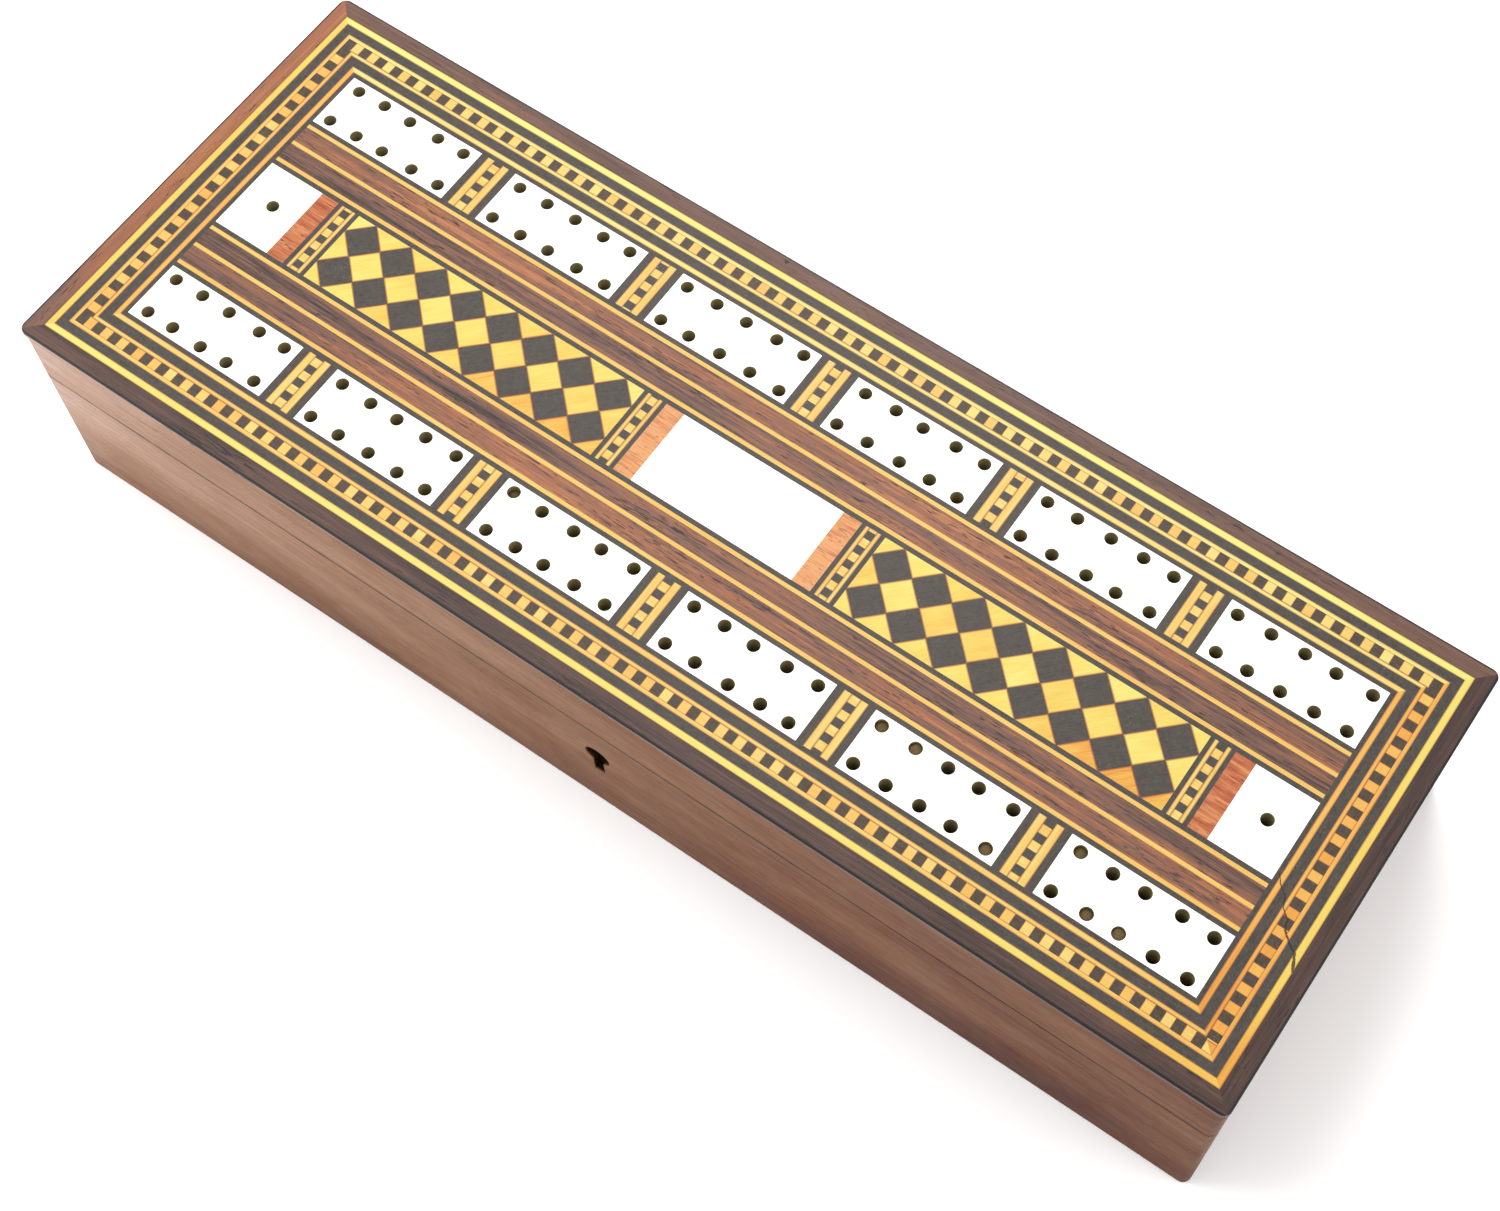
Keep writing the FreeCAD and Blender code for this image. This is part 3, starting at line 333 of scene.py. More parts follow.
def border_square_seams(tree):
    border, cell = border_cell(tree)
    ends = tree.minus(0.5, tree.size(tree.minus(tree.math("FRACT", cell), 0.5)))
    sides = tree.near(border.inset, (CHEQUER_OUTSIDE, FRAME_EDGES[3]), SQUARE_SIDE_REACH)
    return tree.either([tree.step(ends, SQUARE_END_REACH, 0.0), sides])


def cross_seams(tree):
    """Seams beside the squares of the separators and ladders."""
    in_rows = tree.math("GREATER_THAN", tree.size(tree.y), 0.5 * (ROW_HALF + PLATE_INSIDE))
    turn = tree.math("FRACT", tree.times(tree.plus(tree.x, FIELD_END), 1 / PLATE_PITCH))
    middle = 0.5 * (PLATE_PITCH + PLATE_LENGTH)
    from_separator = tree.size(tree.minus(tree.times(turn, PLATE_PITCH), middle))
    from_ladder = tree.math("MINIMUM", *[tree.size(tree.minus(tree.size(tree.x), centre))
                                         for centre in LADDER_CENTRES])
    return tree.choose(in_rows, tree.near(from_ladder, LADDER_EDGES, SEAM_REACH),
                       tree.near(from_separator, SEPARATOR_EDGES, SEAM_REACH))


def diamond_cell(tree):
    """Two slanting coordinates in which every diamond is one unit, centred on whole numbers."""
    column = tree.times(tree.minus(tree.size(tree.x), PANEL_START), 1 / DIAMOND_X)
    line = tree.times(tree.y, 1 / DIAMOND_Y)
    rising = tree.plus(tree.times(tree.plus(column, line), 0.5), CELL_SHIFT)
    falling = tree.plus(tree.times(tree.minus(column, line), 0.5), CELL_SHIFT)
    return rising, falling


def diamond(tree):
    rising, falling = diamond_cell(tree)
    return tree.chance(tree.math("FLOOR", rising), tree.math("FLOOR", falling),
                       tree.sign(tree.x))


def stained_triangles(tree):
    """Change of tone: a few triangles on each panel's near edge are more orange."""
    rising, falling = diamond_cell(tree)
    line = tree.minus(tree.math("FLOOR", rising), tree.math("FLOOR", falling))
    near_edge = tree.math("LESS_THAN", line, -1.5)
    column = tree.plus(tree.math("FLOOR", rising), tree.math("FLOOR", falling))
    left = tree.step(column, 49.0, 47.0)
    right = tree.step(column, 49.0, 52.0)
    on_right = tree.math("GREATER_THAN", tree.x, 0.0)
    return tree.times(tree.times(near_edge, tree.choose(on_right, left, right)), -0.42)


def diamond_seams(tree):
    gaps = []
    for cell in diamond_cell(tree):
        from_edge = tree.minus(0.5, tree.size(tree.minus(tree.math("FRACT", cell), 0.5)))
        gaps.append(tree.step(tree.times(from_edge, DIAMOND_DEPTH), DIAMOND_SEAM_REACH, 0.0))
    return tree.either(gaps)


def frame_seams(tree):
    return tree.near(Border(tree).inset, FRAME_EDGES, SEAM_REACH)


# The crack's course over the border near the right end, from the middle outward.
CRACK = ((122.9, -6.9), (123.8, -8.3), (125.9, -10.2), (126.5, -12.0), (128.3, -13.6),
         (128.9, -15.6), (130.9, -17.3), (132.3, -18.2), (133.2, -20.0), (133.7, -21.2))
CRACK_WIDTH = 0.1
CRACK_WIDENING = 0.16


def crack(tree):
    """1 in the hairline crack that runs across the border lines, widest at its outer end."""
    wobble = tree.times(tree.minus(tree.noise(tree.place, 1.3, 3.0), 0.5), 0.5)
    masks = []
    for start, end in zip(CRACK, CRACK[1:]):
        run, rise = end[0] - start[0], end[1] - start[1]
        length = math.hypot(run, rise)
        from_x, from_y = tree.minus(tree.x, start[0]), tree.minus(tree.y, start[1])
        along = tree.plus(tree.times(from_x, run / length), tree.times(from_y, rise / length))
        away = tree.minus(tree.times(from_x, rise / length), tree.times(from_y, run / length))
        outside = tree.math("MAXIMUM", tree.times(along, -1.0), tree.minus(along, length))
        away = tree.math("MAXIMUM", tree.size(tree.plus(away, wobble)), outside)
        onward = (start[0] - CRACK[0][0]) / (CRACK[-1][0] - CRACK[0][0])
        width = CRACK_WIDTH + CRACK_WIDENING * onward
        masks.append(tree.step(away, width + 0.08, width - 0.06))
    return tree.either(masks)


# ---------------------------------------------------------------- timbers

PORE = albedo(58, 50, 48)
# Colour of the painted shade along the lid's top outer edge.
EDGE_SHADE = albedo(66, 46, 38)
GLUE = albedo(172, 92, 50)
PIECE_SHIFT = 400.0
PORE_START = 0.74
PORE_FULL = 0.8

CARCASS_CENTRE = 0.38
# The palest, greyest tones are reached mostly where the painted sheen lifts the front's left end.
CARCASS = [side_albedo(82, 52, 32), side_albedo(112, 76, 54), side_albedo(138, 102, 80),
           side_albedo(161, 125, 103), side_albedo(184, 150, 131), side_albedo(213, 195, 188)]
FOOT_TOP = 26.0
FOOT_DROP = -0.15
PALE_FOOT_DROP = -0.34
# Painted sheen: the front's left end is made paler, standing in for reflected haze and stronger
# light there.
LEFT_SHEEN_START = 60.0
LEFT_SHEEN_RUN = 197
LEFT_SHEEN_RISE = 0.42
RED_PATCH_RISE = 0.05
# Painted shade toward the front's right end and just under the lid's overhanging edge.
RIGHT_END_SHADE = -0.11
UNDER_EDGE_SHADE = -0.12


def side_tone_and_painted_light(tree):
    """Change of tone on the sides: darker near the foot and, as painted shade, just under the lid's
    edge. The front has a painted sheen toward its left and a little painted shade toward its right."""
    on_front = tree.step(tree.y, 2.0 - HALF_WIDTH, 1.0 - HALF_WIDTH)
    pale_end = tree.times(tree.step(tree.x, -20.0, -120.0), on_front)
    foot = tree.times(tree.step(tree.z, FOOT_TOP, 0.0),
                      tree.choose(pale_end, FOOT_DROP, PALE_FOOT_DROP))
    # Painted sheen: paler toward the front's left end.
    leftward = tree.times(tree.minus(LEFT_SHEEN_START, tree.x), 1 / LEFT_SHEEN_RUN)
    leftward = tree.math("MAXIMUM", leftward, 0.0)
    painted_left_sheen = tree.times(tree.math("POWER", leftward, 2.0), LEFT_SHEEN_RISE)
    red_patch = tree.times(tree.step(tree.x, 118.0, 128.0), tree.step(tree.z, 30.0, 16.0))
    # Painted shade: a little darker toward the front's right end.
    painted_right_shade = tree.times(tree.step(tree.x, 0.0, 120.0), RIGHT_END_SHADE)
    front = tree.plus(painted_left_sheen, tree.plus(painted_right_shade, tree.times(red_patch, RED_PATCH_RISE)))
    # Painted shade just under the lid's overhanging edge.
    shade_under_edge = tree.times(tree.step(tree.z, TOP - 3.0, TOP - 0.4), UNDER_EDGE_SHADE)
    return tree.plus(tree.plus(foot, shade_under_edge), tree.times(on_front, front))


def wood(name, direction, tones, centre=0.5, contrast=1.0, streak=(45, 0.8), fine=(9, 0.16),
         drift=(70, 9), weights=(0.4, 0.35, 0.25), pores=None, piece=None, spread=0.0,
         shade=None, seams=None, seam_colour=GLUE, seam_strength=0.6, roughness=0.42,
         relief=0.012, marks=None, level=0.3, sides=None):
    """A planed and polished timber. tones go from the darkest to the lightest streak. streak,
    drift and fine are the length and width in mm of the three layers of figure, which have
    those weights. piece numbers the separate bits of veneer, spread is how much they differ,
    marks are extra dark places, and sides are the tones of the faces below the lid's top."""
    tree = Tree(name)
    place = along_grain(tree, direction)
    own = piece(tree) if piece else None
    if own:
        shift = tree.times(own, PIECE_SHIFT)
        place = tree.vector("ADD", place, tree.join(shift, shift))

    def layer(size, detail, rough=0.55, distortion=0.0):
        length, width = size
        scaled = tree.vector("MULTIPLY", place, (1 / length, 1 / width, 1 / width))
        return tree.noise(scaled, 1.0, detail, rough, distortion)

    bands = layer(streak, 3.0, 0.6, 0.25)
    broad = layer(drift, 2.0, 0.5, 0.3)
    threads = layer(fine, 3.0, 0.65)
    figure = tree.plus(tree.times(bands, weights[0]), tree.times(broad, weights[1]))
    figure = tree.plus(figure, tree.times(threads, weights[2]))
    tone = tree.plus(tree.times(tree.minus(figure, 0.5), 2 * contrast), centre)
    if own:
        tone = tree.plus(tone, tree.times(tree.minus(own, 0.5), spread))
    if shade:
        tone = tree.plus(tone, shade(tree))
    colour = tree.ramp(tone, tones)
    if sides:
        side_tone = tree.plus(tree.times(tree.minus(figure, 0.5), 1.2),
                              tree.plus(side_tone_and_painted_light(tree), CARCASS_CENTRE))
        below = tree.step(tree.z, TOP - 0.2, TOP - 0.35)
        colour = tree.mix(below, colour, tree.ramp(side_tone, sides))
        # Painted shade: a dark line along the lid's top outer edge.
        edge = tree.times(tree.step(Border(tree).inset, 0.6, 0.35),
                          tree.step(tree.z, TOP - 0.55, TOP - 0.3))
        colour = tree.mix(edge, colour, EDGE_SHADE)
    height = tree.plus(tree.times(threads, 0.6), tree.times(bands, 0.3))
    dark = []
    if pores:
        amount, size = pores
        dashes = layer(size, 1.0, 0.4)
        clusters = layer((26, 2.2), 2.0)
        dark.append(tree.step(tree.plus(dashes, tree.times(tree.minus(clusters, 0.5), 0.5)),
                              PORE_START - amount, PORE_FULL - amount))
    if marks:
        dark.append(marks(tree))
    if dark:
        open_grain = tree.either(dark)
        colour = tree.mix(tree.times(open_grain, 0.9), colour, PORE)
        height = tree.minus(height, tree.times(open_grain, 2.0))
    if seams:
        seam = seams(tree)
        colour = tree.mix(tree.times(seam, seam_strength), colour, seam_colour)
        height = tree.minus(height, tree.times(seam, 0.8))
    rubbed = tree.noise(tree.place, 0.09, 4.0, 0.6)
    gloss = tree.plus(roughness - 0.12, tree.times(rubbed, 0.24))
    normal = tree.bump(tree.noise(tree.place, 0.22, 2.0), relief * 4)
    normal = tree.bump(height, relief, normal)
    return tree.finish(colour, gloss, normal, IOR=1.5, Specular_IOR_Level=level)


def side_tones(left, right, near, far):
    """Tone of each of the border's four strips, from 0, darkest, to 1, lightest."""
    def shade(tree):
        border = Border(tree)
        rise = tree.plus(tree.times(border.side, 0.5), 0.5)
        long_tone = tree.choose(rise, near, far)
        end_tone = tree.choose(rise, left, right)
        return tree.choose(border.end, long_tone, end_tone)
    return shade


ROSEWOOD = [albedo(72, 60, 57), albedo(104, 86, 81), albedo(140, 109, 97),
            albedo(175, 118, 92), albedo(207, 143, 104)]


def border_marks(tree):
    """Long open pores in the near strip, a dark spot in the far strip, and the crack."""
    lines = tree.noise(tree.vector("MULTIPLY", tree.place, (0.3, 4.2, 1.0)), 1.0, 2.0)
    near_strip = tree.step(tree.y, 5 - HALF_WIDTH, 3 - HALF_WIDTH)
    stretch = tree.step(tree.size(tree.plus(tree.x, 88.0)), 14.0, 8.0)
    long_pores = tree.times(tree.step(lines, 0.56, 0.62), tree.times(near_strip, stretch))
    return tree.either([long_pores, tree.spot(-22.5, 48.6, 0.55), crack(tree)])


def border_tones(tree):
    """Tone of the veneer frame: the left strip is the lightest, and darker near its corner."""
    on_left = tree.times(Border(tree).end, tree.math("LESS_THAN", tree.x, 0.0))
    corner = tree.times(tree.step(tree.y, -20.0, -42.0), -0.26)
    return tree.plus(side_tones(0.78, 0.2, 0.25, 0.42)(tree), tree.times(on_left, corner))


rosewood_border = wood("rosewood_border", "frame", ROSEWOOD, centre=0.0, contrast=0.62,
                       streak=(30, 0.55), fine=(7, 0.2), drift=(30, 3), piece=strip_number,
                       weights=(0.35, 0.3, 0.35),
                       pores=(0.05, (3.0, 0.22)), shade=border_tones, marks=border_marks,
                       seams=frame_seams, seam_colour=PORE, sides=CARCASS)


BAND_SPLIT = 15.0


def band_tones(tree):
    """Outer bands are redder, inner ones darker; all are lighter in the middle, and the near
    ones toward the right."""
    outer = tree.math("GREATER_THAN", tree.size(tree.y), BAND_SPLIT)
    middle = tree.step(tree.size(tree.x), 130.0, 20.0)
    near_right = tree.times(tree.step(tree.y, 0.0, -5.0), tree.step(tree.x, 30.0, 90.0))
    along = tree.plus(tree.times(middle, 0.1), tree.times(near_right, 0.1))
    return tree.plus(tree.choose(outer, 0.42, 0.56), along)


def band_number(tree):
    outer = tree.math("GREATER_THAN", tree.size(tree.y), BAND_SPLIT)
    return tree.chance(outer, tree.sign(tree.y), 7.0)


rosewood_bands = wood("rosewood_bands", "x", ROSEWOOD, centre=0.0, contrast=1.6,
                      streak=(24, 0.5), fine=(7, 0.2), drift=(60, 2.4), piece=band_number,
                      weights=(0.35, 0.3, 0.35), pores=(0.09, (2.8, 0.22)), shade=band_tones)

SATIN = [albedo(236, 146, 70), albedo(251, 198, 100), albedo(253, 226, 119),
         albedo(254, 246, 146)]


def satin_tones(tree):
    """The far strip is the palest; the near right corner and the left strip are more orange."""
    corner = tree.times(tree.step(tree.x, 92.0, 122.0), tree.step(tree.y, -22.0, -42.0))
    on_right = tree.times(Border(tree).end, tree.math("GREATER_THAN", tree.x, 0.0))
    slope = tree.times(tree.times(on_right, tree.y), 0.003)
    return tree.plus(side_tones(0.6, 0.64, 0.8, 0.96)(tree),
                     tree.plus(slope, tree.times(corner, -0.34)))


satinwood = wood("satinwood", "frame", SATIN, centre=0.0, contrast=0.55, streak=(30, 0.5),
                 piece=strip_number, shade=satin_tones,
                 seams=frame_seams, seam_strength=0.7, relief=0.006, marks=crack)
satin_diamond = wood("satinwood_diamonds", "diagonal", SATIN, centre=0.67, contrast=0.7,
                     streak=(7, 0.4), fine=(4, 0.2), drift=(14, 5), piece=diamond, spread=0.3,
                     shade=stained_triangles, seams=diamond_seams,
                     seam_colour=albedo(170, 84, 44), seam_strength=0.9, relief=0.006)
BOX = [albedo(226, 134, 66), albedo(251, 184, 98), albedo(254, 210, 120),
       albedo(255, 238, 148)]


def box_tones(tree):
    """The left fillet and the right end of the near strips are more orange."""
    border = Border(tree)
    near_right = tree.times(tree.step(tree.y, -10.0, -30.0), tree.step(tree.x, 95.0, 128.0))
    left_fillet = tree.times(tree.times(border.end, tree.math("LESS_THAN", tree.x, 0.0)),
                             tree.math("GREATER_THAN", border.inset, FRAME_EDGES[4]))
    deeper = tree.plus(tree.times(near_right, -0.16), tree.times(left_fillet, -0.2))
    return tree.plus(side_tones(0.62, 0.44, 0.71, 0.95)(tree), deeper)


boxwood = wood("boxwood", "frame", BOX, centre=0.0, contrast=0.6, streak=(16, 0.45),
               piece=strip_number, shade=box_tones, seams=frame_seams, seam_strength=0.7,
               relief=0.006, marks=crack)
boxwood_squares = wood("boxwood_squares", "frame", BOX, centre=0.0, contrast=0.4,
                       streak=(6, 0.4), fine=(3, 0.2), piece=border_square, spread=0.36,
                       shade=side_tones(0.62, 0.44, 0.66, 0.78), seams=border_square_seams,
                       seam_strength=0.85, relief=0.006, marks=crack)
boxwood_cross = wood("boxwood_cross", "y", BOX, centre=0.72, contrast=0.7, streak=(12, 0.45),
                     drift=(14, 1.5), seams=cross_seams, seam_strength=0.7, relief=0.006)
boxwood_rungs = wood("boxwood_rungs", "x", BOX, centre=0.76, contrast=0.9, streak=(6, 0.4),
                     fine=(3, 0.2), drift=(5, 3), seams=cross_seams, seam_strength=0.75,
                     relief=0.006)
boxwood_lines = wood("boxwood_lines", "x", BOX, centre=0.62, contrast=0.5, streak=(24, 0.4),
                     drift=(40, 2), relief=0.006)
TULIP = [albedo(118, 64, 48), albedo(174, 92, 66), albedo(213, 130, 92), albedo(248, 180, 124)]


def strip_tone(tree):
    """The two strips beside the middle plate are lighter than the two outer ones."""
    outer = tree.math("GREATER_THAN", tree.size(tree.x), 60.0)
    return tree.choose(outer, 0.94, 0.64)


tulipwood = wood("tulipwood", "x", TULIP, centre=0.0, contrast=1.3, streak=(5, 0.34),
                 fine=(2.4, 0.13), drift=(14, 1.4), shade=strip_tone,
                 pores=(0.05, (1.4, 0.13)), relief=0.01)

EBONY = [albedo(78, 74, 72), albedo(98, 92, 87), albedo(112, 104, 98), albedo(136, 127, 120)]
STAINED_EBONY = [albedo(84, 72, 64), albedo(101, 90, 80), albedo(118, 102, 88),
                 albedo(144, 126, 108)]


def ebony_wood(name, direction, dusty, cracked=False, tones=EBONY):
    """Nearly black, closely grained, with polish and a little pale dust in the grain."""
    tree = Tree(name)
    place = along_grain(tree, direction)
    threads = tree.noise(tree.vector("MULTIPLY", place, (0.3, 4.0, 4.0)), 1.0, 3.0, 0.6)
    mottle = tree.noise(tree.place, 1.1, 5.0, 0.75)
    tone = tree.plus(tree.times(threads, 0.7), tree.times(mottle, 0.9))
    colour = tree.ramp(tree.minus(tone, 0.46), tones)
    patches = tree.step(tree.noise(tree.place, 0.16, 3.0), 0.5, 0.66)
    dust = tree.step(tree.noise(tree.place, 2.4, 3.0, 0.7), 0.6, 0.74)
    dust = tree.times(tree.times(dust, patches), dusty)
    colour = tree.mix(dust, colour, albedo(176, 170, 162))
    if cracked:
        colour = tree.mix(tree.times(crack(tree), 0.8), colour, albedo(60, 52, 48))
    gloss = tree.plus(0.3, tree.times(mottle, 0.25))
    normal = tree.bump(tree.plus(threads, tree.times(mottle, 0.6)), 0.02)
    return tree.finish(colour, gloss, normal, IOR=1.5, Specular_IOR_Level=0.3)


ebony_frame = ebony_wood("ebony_lines", "frame", 0.6, cracked=True)
ebony_squares = ebony_wood("ebony_squares", "frame", 0.6, True, STAINED_EBONY)
ebony_diamond = ebony_wood("ebony_diamonds", "diagonal", 0.8)
ebony_cross = ebony_wood("ebony_cross", "y", 0.7)

# ---------------------------------------------------------------- bone


def bone():
    """Polished bone, cream white with short faint pores, and dull olive inside the holes."""
    tree = Tree("bone")
    cloud = tree.noise(tree.place, 0.12, 3.0, 0.6)
    flecks = tree.noise(tree.vector("MULTIPLY", tree.place, (0.5, 5.0, 5.0)), 1.0, 1.0)
    colour = tree.ramp(cloud, [(0.70, 0.67, 0.60, 1), (0.76, 0.74, 0.68, 1),
                               (0.80, 0.79, 0.74, 1)])
    marks = tree.step(flecks, 0.68, 0.76)
    colour = tree.mix(tree.times(marks, 0.25), colour, (0.55, 0.48, 0.36, 1))
    stain = tree.step(tree.minus(TOP, tree.z), 0.03, 0.2)
    colour = tree.mix(stain, colour, (0.24, 0.2, 0.1, 1))
    gloss = tree.plus(0.26, tree.times(cloud, 0.16))
    normal = tree.bump(tree.minus(cloud, tree.times(marks, 0.3)), 0.012)
    return tree.finish(colour, gloss, normal, IOR=1.54, Subsurface_Weight=0.06,
                       Subsurface_Scale=0.002)


bone_material = bone()

# ---------------------------------------------------------------- carcass

KEYHOLE_HALF_WIDTH = 3.3
KEYHOLE_HALF_HEIGHT = 6.4
KEYHOLE_START = 0.4
KEYHOLE_END = 5.0
JOINT_REACH = 0.95


def flecks(tree):
    """Sparse dark knots and nicks, a millimetre or less across."""
    points = tree.add("ShaderNodeTexVoronoi")
    tree.feed(points.inputs["Vector"], tree.vector("MULTIPLY", tree.place, (0.11, 0.16, 0.2)))
    away = points.outputs["Distance"]
    some = tree.step(tree.noise(tree.place, 0.05, 1.0), 0.42, 0.5)
    return tree.times(tree.step(away, 0.085, 0.045), some)


def carcass_marks(tree):
    """Flecks, dirt in the joint between lid and base, and shadow inside the keyhole."""
    worn = tree.plus(-0.15, tree.times(tree.noise(tree.place, 0.15, 4.0, 0.7), 1.5))
    outside = tree.step(Border(tree).inset, 1.2, 0.8)
    joint = tree.times(tree.near(tree.z, (JOINT_LEVEL,), JOINT_REACH), tree.times(worn, outside))
    across = tree.step(tree.size(tree.minus(tree.x, KEYHOLE_X)),
                       KEYHOLE_HALF_WIDTH, KEYHOLE_HALF_WIDTH - 0.1)
    from_front = tree.plus(tree.y, HALF_WIDTH)
    through = tree.times(tree.step(from_front, KEYHOLE_START, KEYHOLE_START + 0.4),
                         tree.step(from_front, KEYHOLE_END, KEYHOLE_END - 0.4))
    height = tree.step(tree.size(tree.minus(tree.z, KEYHOLE_Z)),
                       KEYHOLE_HALF_HEIGHT, KEYHOLE_HALF_HEIGHT - 0.2)
    keyhole = tree.times(tree.times(across, through), height)
    return tree.either([flecks(tree), keyhole, joint])


def carcass(name, direction):
    return wood(name, direction, CARCASS, centre=CARCASS_CENTRE, contrast=0.6, streak=(30, 0.9),
                fine=(3.5, 0.3), drift=(50, 12), weights=(0.3, 0.35, 0.35),
                pores=(-0.03, (1.6, 0.2)), shade=side_tone_and_painted_light, marks=carcass_marks, roughness=0.46,
                relief=0.01, level=0.08)


side_x = carcass("carcass_long", "x")
side_y = carcass("carcass_short", "y")
INSIDE = [albedo(96, 58, 38), albedo(134, 88, 58), albedo(164, 112, 76), albedo(186, 136, 96)]


def inside(name, direction):
    return wood(name, direction, INSIDE, centre=0.5, contrast=1.0, streak=(70, 1.8),
                fine=(16, 0.25), drift=(80, 20), pores=(0.03, (3.5, 0.18)), roughness=0.62,
                relief=0.03)


inside_x = inside("inside_long", "x")
inside_y = inside("inside_short", "y")


HOLE_DIRT = (0.3, 0.25, 0.12, 1)
HOLE_DIRT_START = 0.3


def drilled_board():
    """The lid's board: brown underneath, and dusty olive where the peg holes go into it."""
    material = inside("lid_board_wood", "x")
    shader = material.node_tree.nodes["Principled BSDF"]
    figure = shader.inputs["Base Color"].links[0].from_socket
    links = material.node_tree.links
    coordinates = material.node_tree.nodes.new("ShaderNodeTexCoord")
    height = material.node_tree.nodes.new("ShaderNodeSeparateXYZ")
    links.new(coordinates.outputs["Object"], height.inputs[0])
    above = material.node_tree.nodes.new("ShaderNodeMath")
    above.operation = "GREATER_THAN"
    links.new(height.outputs[2], above.inputs[0])
    above.inputs[1].default_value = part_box("lid_board")[0][2] + HOLE_DIRT_START * MM
    blend = material.node_tree.nodes.new("ShaderNodeMix")
    blend.data_type = "RGBA"
    links.new(above.outputs[0], blend.inputs["Factor"])
    links.new(figure, blend.inputs[6])
    blend.inputs[7].default_value = HOLE_DIRT
    links.new(blend.outputs[2], shader.inputs["Base Color"])
    return material


# ---------------------------------------------------------------- metals


def metal(name, bright, dull, tarnish, roughness):
    """Old worked metal: fine file marks, and tarnish in cloudy patches."""
    tree = Tree(name)
    clouds = tree.noise(tree.place, 0.35, 5.0, 0.65)
    files = tree.noise(tree.vector("MULTIPLY", tree.place, (0.3, 9.0, 9.0)), 1.0, 2.0)
    colour = tree.ramp(clouds, [tarnish, tarnish, dull, bright, bright])
    gloss = tree.plus(roughness, tree.times(clouds, 0.25))
    normal = tree.bump(tree.plus(files, tree.times(clouds, 0.5)), 0.01)
    return tree.finish(colour, gloss, normal, Metallic=1.0)


brass = metal("brass", (0.66, 0.48, 0.22, 1), (0.5, 0.34, 0.14, 1), (0.24, 0.15, 0.07, 1), 0.2)
steel = metal("steel", (0.5, 0.49, 0.47, 1), (0.36, 0.34, 0.32, 1), (0.16, 0.11, 0.08, 1), 0.28)
dark_steel = metal("dark_steel", (0.12, 0.11, 0.09, 1), (0.07, 0.06, 0.04, 1),
                   (0.04, 0.035, 0.02, 1), 0.5)

# ---------------------------------------------------------------- which node gets which

MATERIALS = {
    "rosewood_border": rosewood_border, "rosewood_bands": rosewood_bands,
    "satinwood_line": satinwood, "parquetry_satinwood_diamonds": satin_diamond,
    "parquetry_ebony_diamonds": ebony_diamond, "boxwood_fillet": boxwood,
    "boxwood_outer_line": boxwood, "boxwood_inner_line": boxwood,
    "border_boxwood_squares": boxwood_squares, "cross_boxwood_squares": boxwood_rungs,
    "cross_boxwood_lines": boxwood_cross, "band_boxwood_lines": boxwood_lines,
    "ebony_outer_line": ebony_frame, "ebony_inner_line": ebony_frame,
    "ebony_field_line": ebony_frame, "border_ebony_squares": ebony_squares,
    "band_ebony_lines": ebony_frame, "cross_ebony_lines": ebony_cross,
    "cross_ebony_squares": ebony_cross, "tulipwood_strips": tulipwood,
    "base_front_wall": side_x, "base_back_wall": side_x, "lid_front_rail": side_x,
    "lid_back_rail": side_x, "base_left_wall": side_y, "base_right_wall": side_y,
    "lid_left_rail": side_y, "lid_right_rail": side_y, "bottom_board": inside_x,
    "lid_board": drilled_board(), "left_divider": inside_y, "right_divider": inside_y,
    "lock_case": dark_steel,
}
SLOT_MATERIALS = {"bone": bone_material, "brass": brass, "steel": steel}


def dress(name, material):
    mesh = nodes[name].data
    mesh.materials.clear()
    mesh.materials.append(material)


for entry in frame["record"]["subparts"]:
    name = entry["node"]
    dress(name, MATERIALS.get(name) or SLOT_MATERIALS[entry["material_slot"]])

# ---------------------------------------------------------------- dust in the holes

HOLE_PITCH = 6.98
HOLE_ROW = 9.05
HOLE_RADIUS = 1.34
HOLE_SEARCH = 2.1
PLUG_RINGS = 4
PLUG_SIDES = 18
PLUG_TURNS = [2 * math.pi * index / PLUG_SIDES for index in range(PLUG_SIDES)]
PLUG_FOOT = 1.2
PLUG_SLUMP = 0.35
PLUG_ROUGH = 0.09
# Plate from the left, hole column, inner (1) or outer (-1) line, depth below the top.
DUSTY_HOLES = ((3, 1, 1, 1.3), (5, 1, 1, 0.7), (5, 2, 1, 0.45), (5, 5, -1, 0.5),
               (6, 1, 1, 0.7), (6, 2, -1, 0.6), (6, 3, -1, 0.4))


def link(piece):
    bpy.context.scene.collection.objects.link(piece)
    return piece


def mesh_piece(name, bm, material):
    """A new object on the lid from a bmesh in millimetres."""
    bm.transform(Matrix.Scale(MM, 4))
    mesh = bpy.data.meshes.new(name)
    bm.to_mesh(mesh)
    bm.free()
    mesh.materials.append(material)
    mesh.polygons.foreach_set("use_smooth", [True] * len(mesh.polygons))
    piece = link(bpy.data.objects.new(name, mesh))
    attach(piece, "lid")


def dust():
    """Packed dust and fibres: pale brown, rough and mottled."""
    tree = Tree("hole_dust")
    grit = tree.noise(tree.place, 3.2, 4.0, 0.7)
    colour = tree.ramp(tree.minus(tree.times(grit, 1.8), 0.4),
                       [(0.045, 0.03, 0.006, 1), (0.09, 0.06, 0.015, 1),
                        (0.16, 0.112, 0.034, 1)])
    return tree.finish(colour, tree.plus(0.75, tree.times(grit, 0.2)), tree.bump(grit, 0.15))


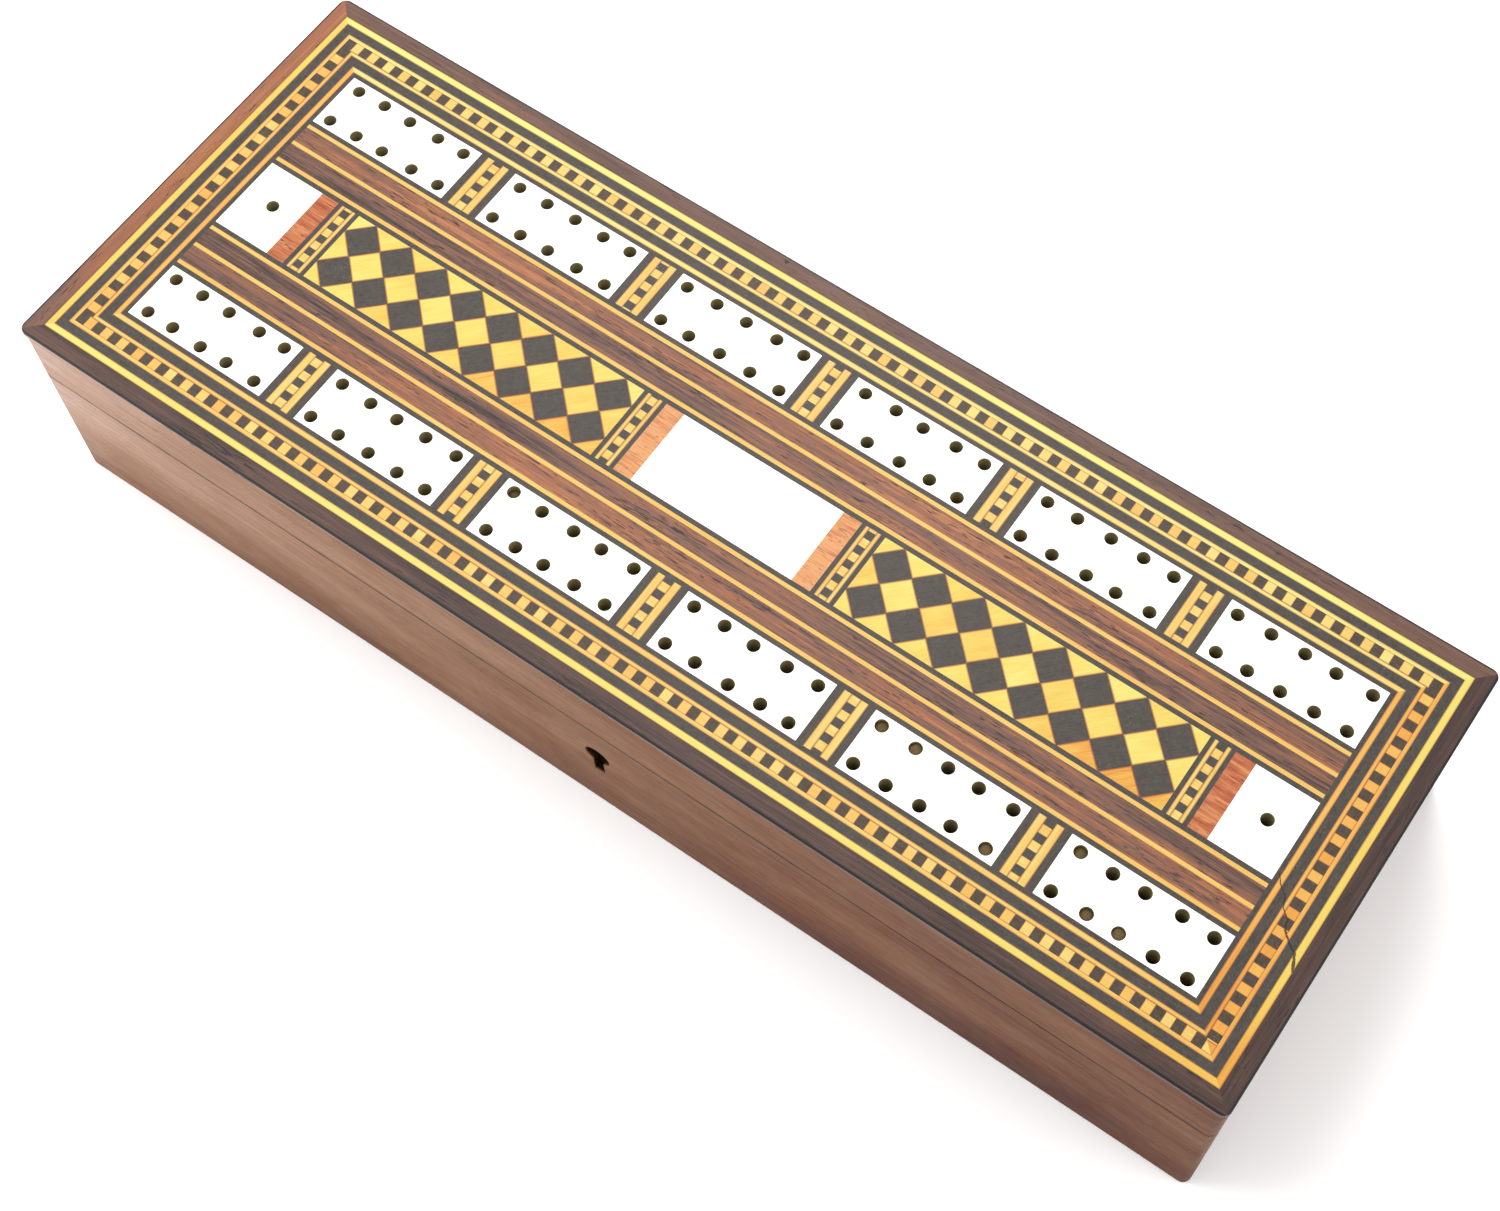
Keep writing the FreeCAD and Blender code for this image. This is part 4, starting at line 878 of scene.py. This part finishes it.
def hole_centre(plate, column, line):
    """Middle of one peg hole, found from the rim of the plate's own mesh."""
    nominal = Vector(((plate - 1) * PLATE_PITCH - FIELD_END + PLATE_LENGTH / 2
                      + (column - 3) * HOLE_PITCH,
                      -(PLATE_INSIDE + PLATE_OUTSIDE) / 2 + line * HOLE_ROW / 2))
    rim = [vertex.co / MM for vertex in nodes[f"peg_plate_front_{plate}"].data.vertices]
    rim = [point for point in rim if (point.xy - nominal).length < HOLE_SEARCH]
    return [(min(point[axis] for point in rim) + max(point[axis] for point in rim)) / 2
            for axis in (0, 1)]


def dust_plug(plate, column, line, depth, material):
    """A slightly heaped, ragged plug of dust that fills one hole nearly to its rim."""
    draw = random.Random(f"{plate} {column} {line}")
    x, y = hole_centre(plate, column, line)
    bm = bmesh.new()
    middle = bm.verts.new((x, y, TOP - depth))
    rings = []
    for ring in range(1, PLUG_RINGS + 1):
        radius = HOLE_RADIUS * ring / PLUG_RINGS
        slump = PLUG_SLUMP * (ring / PLUG_RINGS) ** 2
        rings.append([bm.verts.new((x + radius * math.cos(turn), y + radius * math.sin(turn),
                                    TOP - depth - slump
                                    + draw.uniform(-PLUG_ROUGH, PLUG_ROUGH)))
                      for turn in PLUG_TURNS])
    rings.append([bm.verts.new((vertex.co.x, vertex.co.y, TOP - depth - PLUG_FOOT))
                  for vertex in rings[-1]])
    foot = bm.verts.new((x, y, TOP - depth - PLUG_FOOT))
    count = len(PLUG_TURNS)
    for index in range(count):
        after = (index + 1) % count
        bm.faces.new((middle, rings[0][index], rings[0][after]))
        for inner, outer in zip(rings, rings[1:]):
            bm.faces.new((inner[index], outer[index], outer[after], inner[after]))
        bm.faces.new((foot, rings[-1][after], rings[-1][index]))
    mesh_piece(f"hole_dust_{plate}_{column}_{'inner' if line > 0 else 'outer'}", bm, material)


dust_material = dust()
for plate, column, line, depth in DUSTY_HOLES:
    dust_plug(plate, column, line, depth, dust_material)

# ---------------------------------------------------------------- floor, light and camera

FLOOR_REACH = 3.0
# Name, place, width, watts and the point it faces.
LIGHTS = (("key", (-0.7, -0.2, 1.3), 1.0, 10, (0, 0, 0)),
          ("back", (-0.7, 1.5, 0.85), 1.0, 18, (0, 0, 0)),
          ("glint", (-0.25, 0.52, 1.0), 0.35, 2.5, (0, 0, 0)),
          ("window", (-0.6, -0.42, 0.22), 0.3, 2.8, (-0.1, -0.05, 0.03)),
          ("right", (1.1, 0.1, 0.8), 0.8, 6, (0, 0, 0)))
CAMERA_PLACE = (0.1388, -0.1722, 0.4681)
CAMERA_TURN = (26.682, -0.765, 34.266)
CAMERA_LENS = 59.25
CAMERA_SENSOR = 36.0
CAMERA_SHIFT = (-0.0729, -0.0349)
CAMERA_CLIP = 0.01


def floor():
    mesh = bpy.data.meshes.new("floor")
    corners = [(x * FLOOR_REACH, y * FLOOR_REACH, 0)
               for x, y in ((-1, -1), (1, -1), (1, 1), (-1, 1))]
    mesh.from_pydata(corners, [], [(0, 1, 2, 3)])
    tree = Tree("paper_floor")
    mottle = tree.noise(tree.place, 0.01, 2.0)
    colour = tree.ramp(mottle, [(0.86, 0.86, 0.86, 1), (0.88, 0.88, 0.88, 1)])
    tree.finish(colour, 0.9, tree.bump(mottle, 0.1))
    mesh.materials.append(tree.material)
    link(bpy.data.objects.new("floor", mesh))


def area_light(name, place, size, watts, target):
    data = bpy.data.lights.new(name, "AREA")
    data.energy = watts
    data.size = size
    lamp = link(bpy.data.objects.new(name, data))
    lamp.location = place
    lamp.rotation_euler = (Vector(target) - Vector(place)).to_track_quat("-Z", "Y").to_euler()


def studio():
    world = bpy.data.worlds.new("studio")
    world.use_nodes = True
    background = world.node_tree.nodes["Background"]
    background.inputs["Color"].default_value = (1, 1, 1, 1)
    background.inputs["Strength"].default_value = 1.0
    bpy.context.scene.world = world
    bpy.context.scene.view_settings.view_transform = "Standard"
    for settings in LIGHTS:
        area_light(*settings)


def camera():
    data = bpy.data.cameras.new("camera")
    data.sensor_width = CAMERA_SENSOR
    data.lens = CAMERA_LENS
    data.shift_x, data.shift_y = CAMERA_SHIFT
    data.clip_start = CAMERA_CLIP
    eye = link(bpy.data.objects.new("camera", data))
    eye.location = CAMERA_PLACE
    eye.rotation_euler = Euler([math.radians(angle) for angle in CAMERA_TURN])
    bpy.context.scene.camera = eye


floor()
studio()
camera()
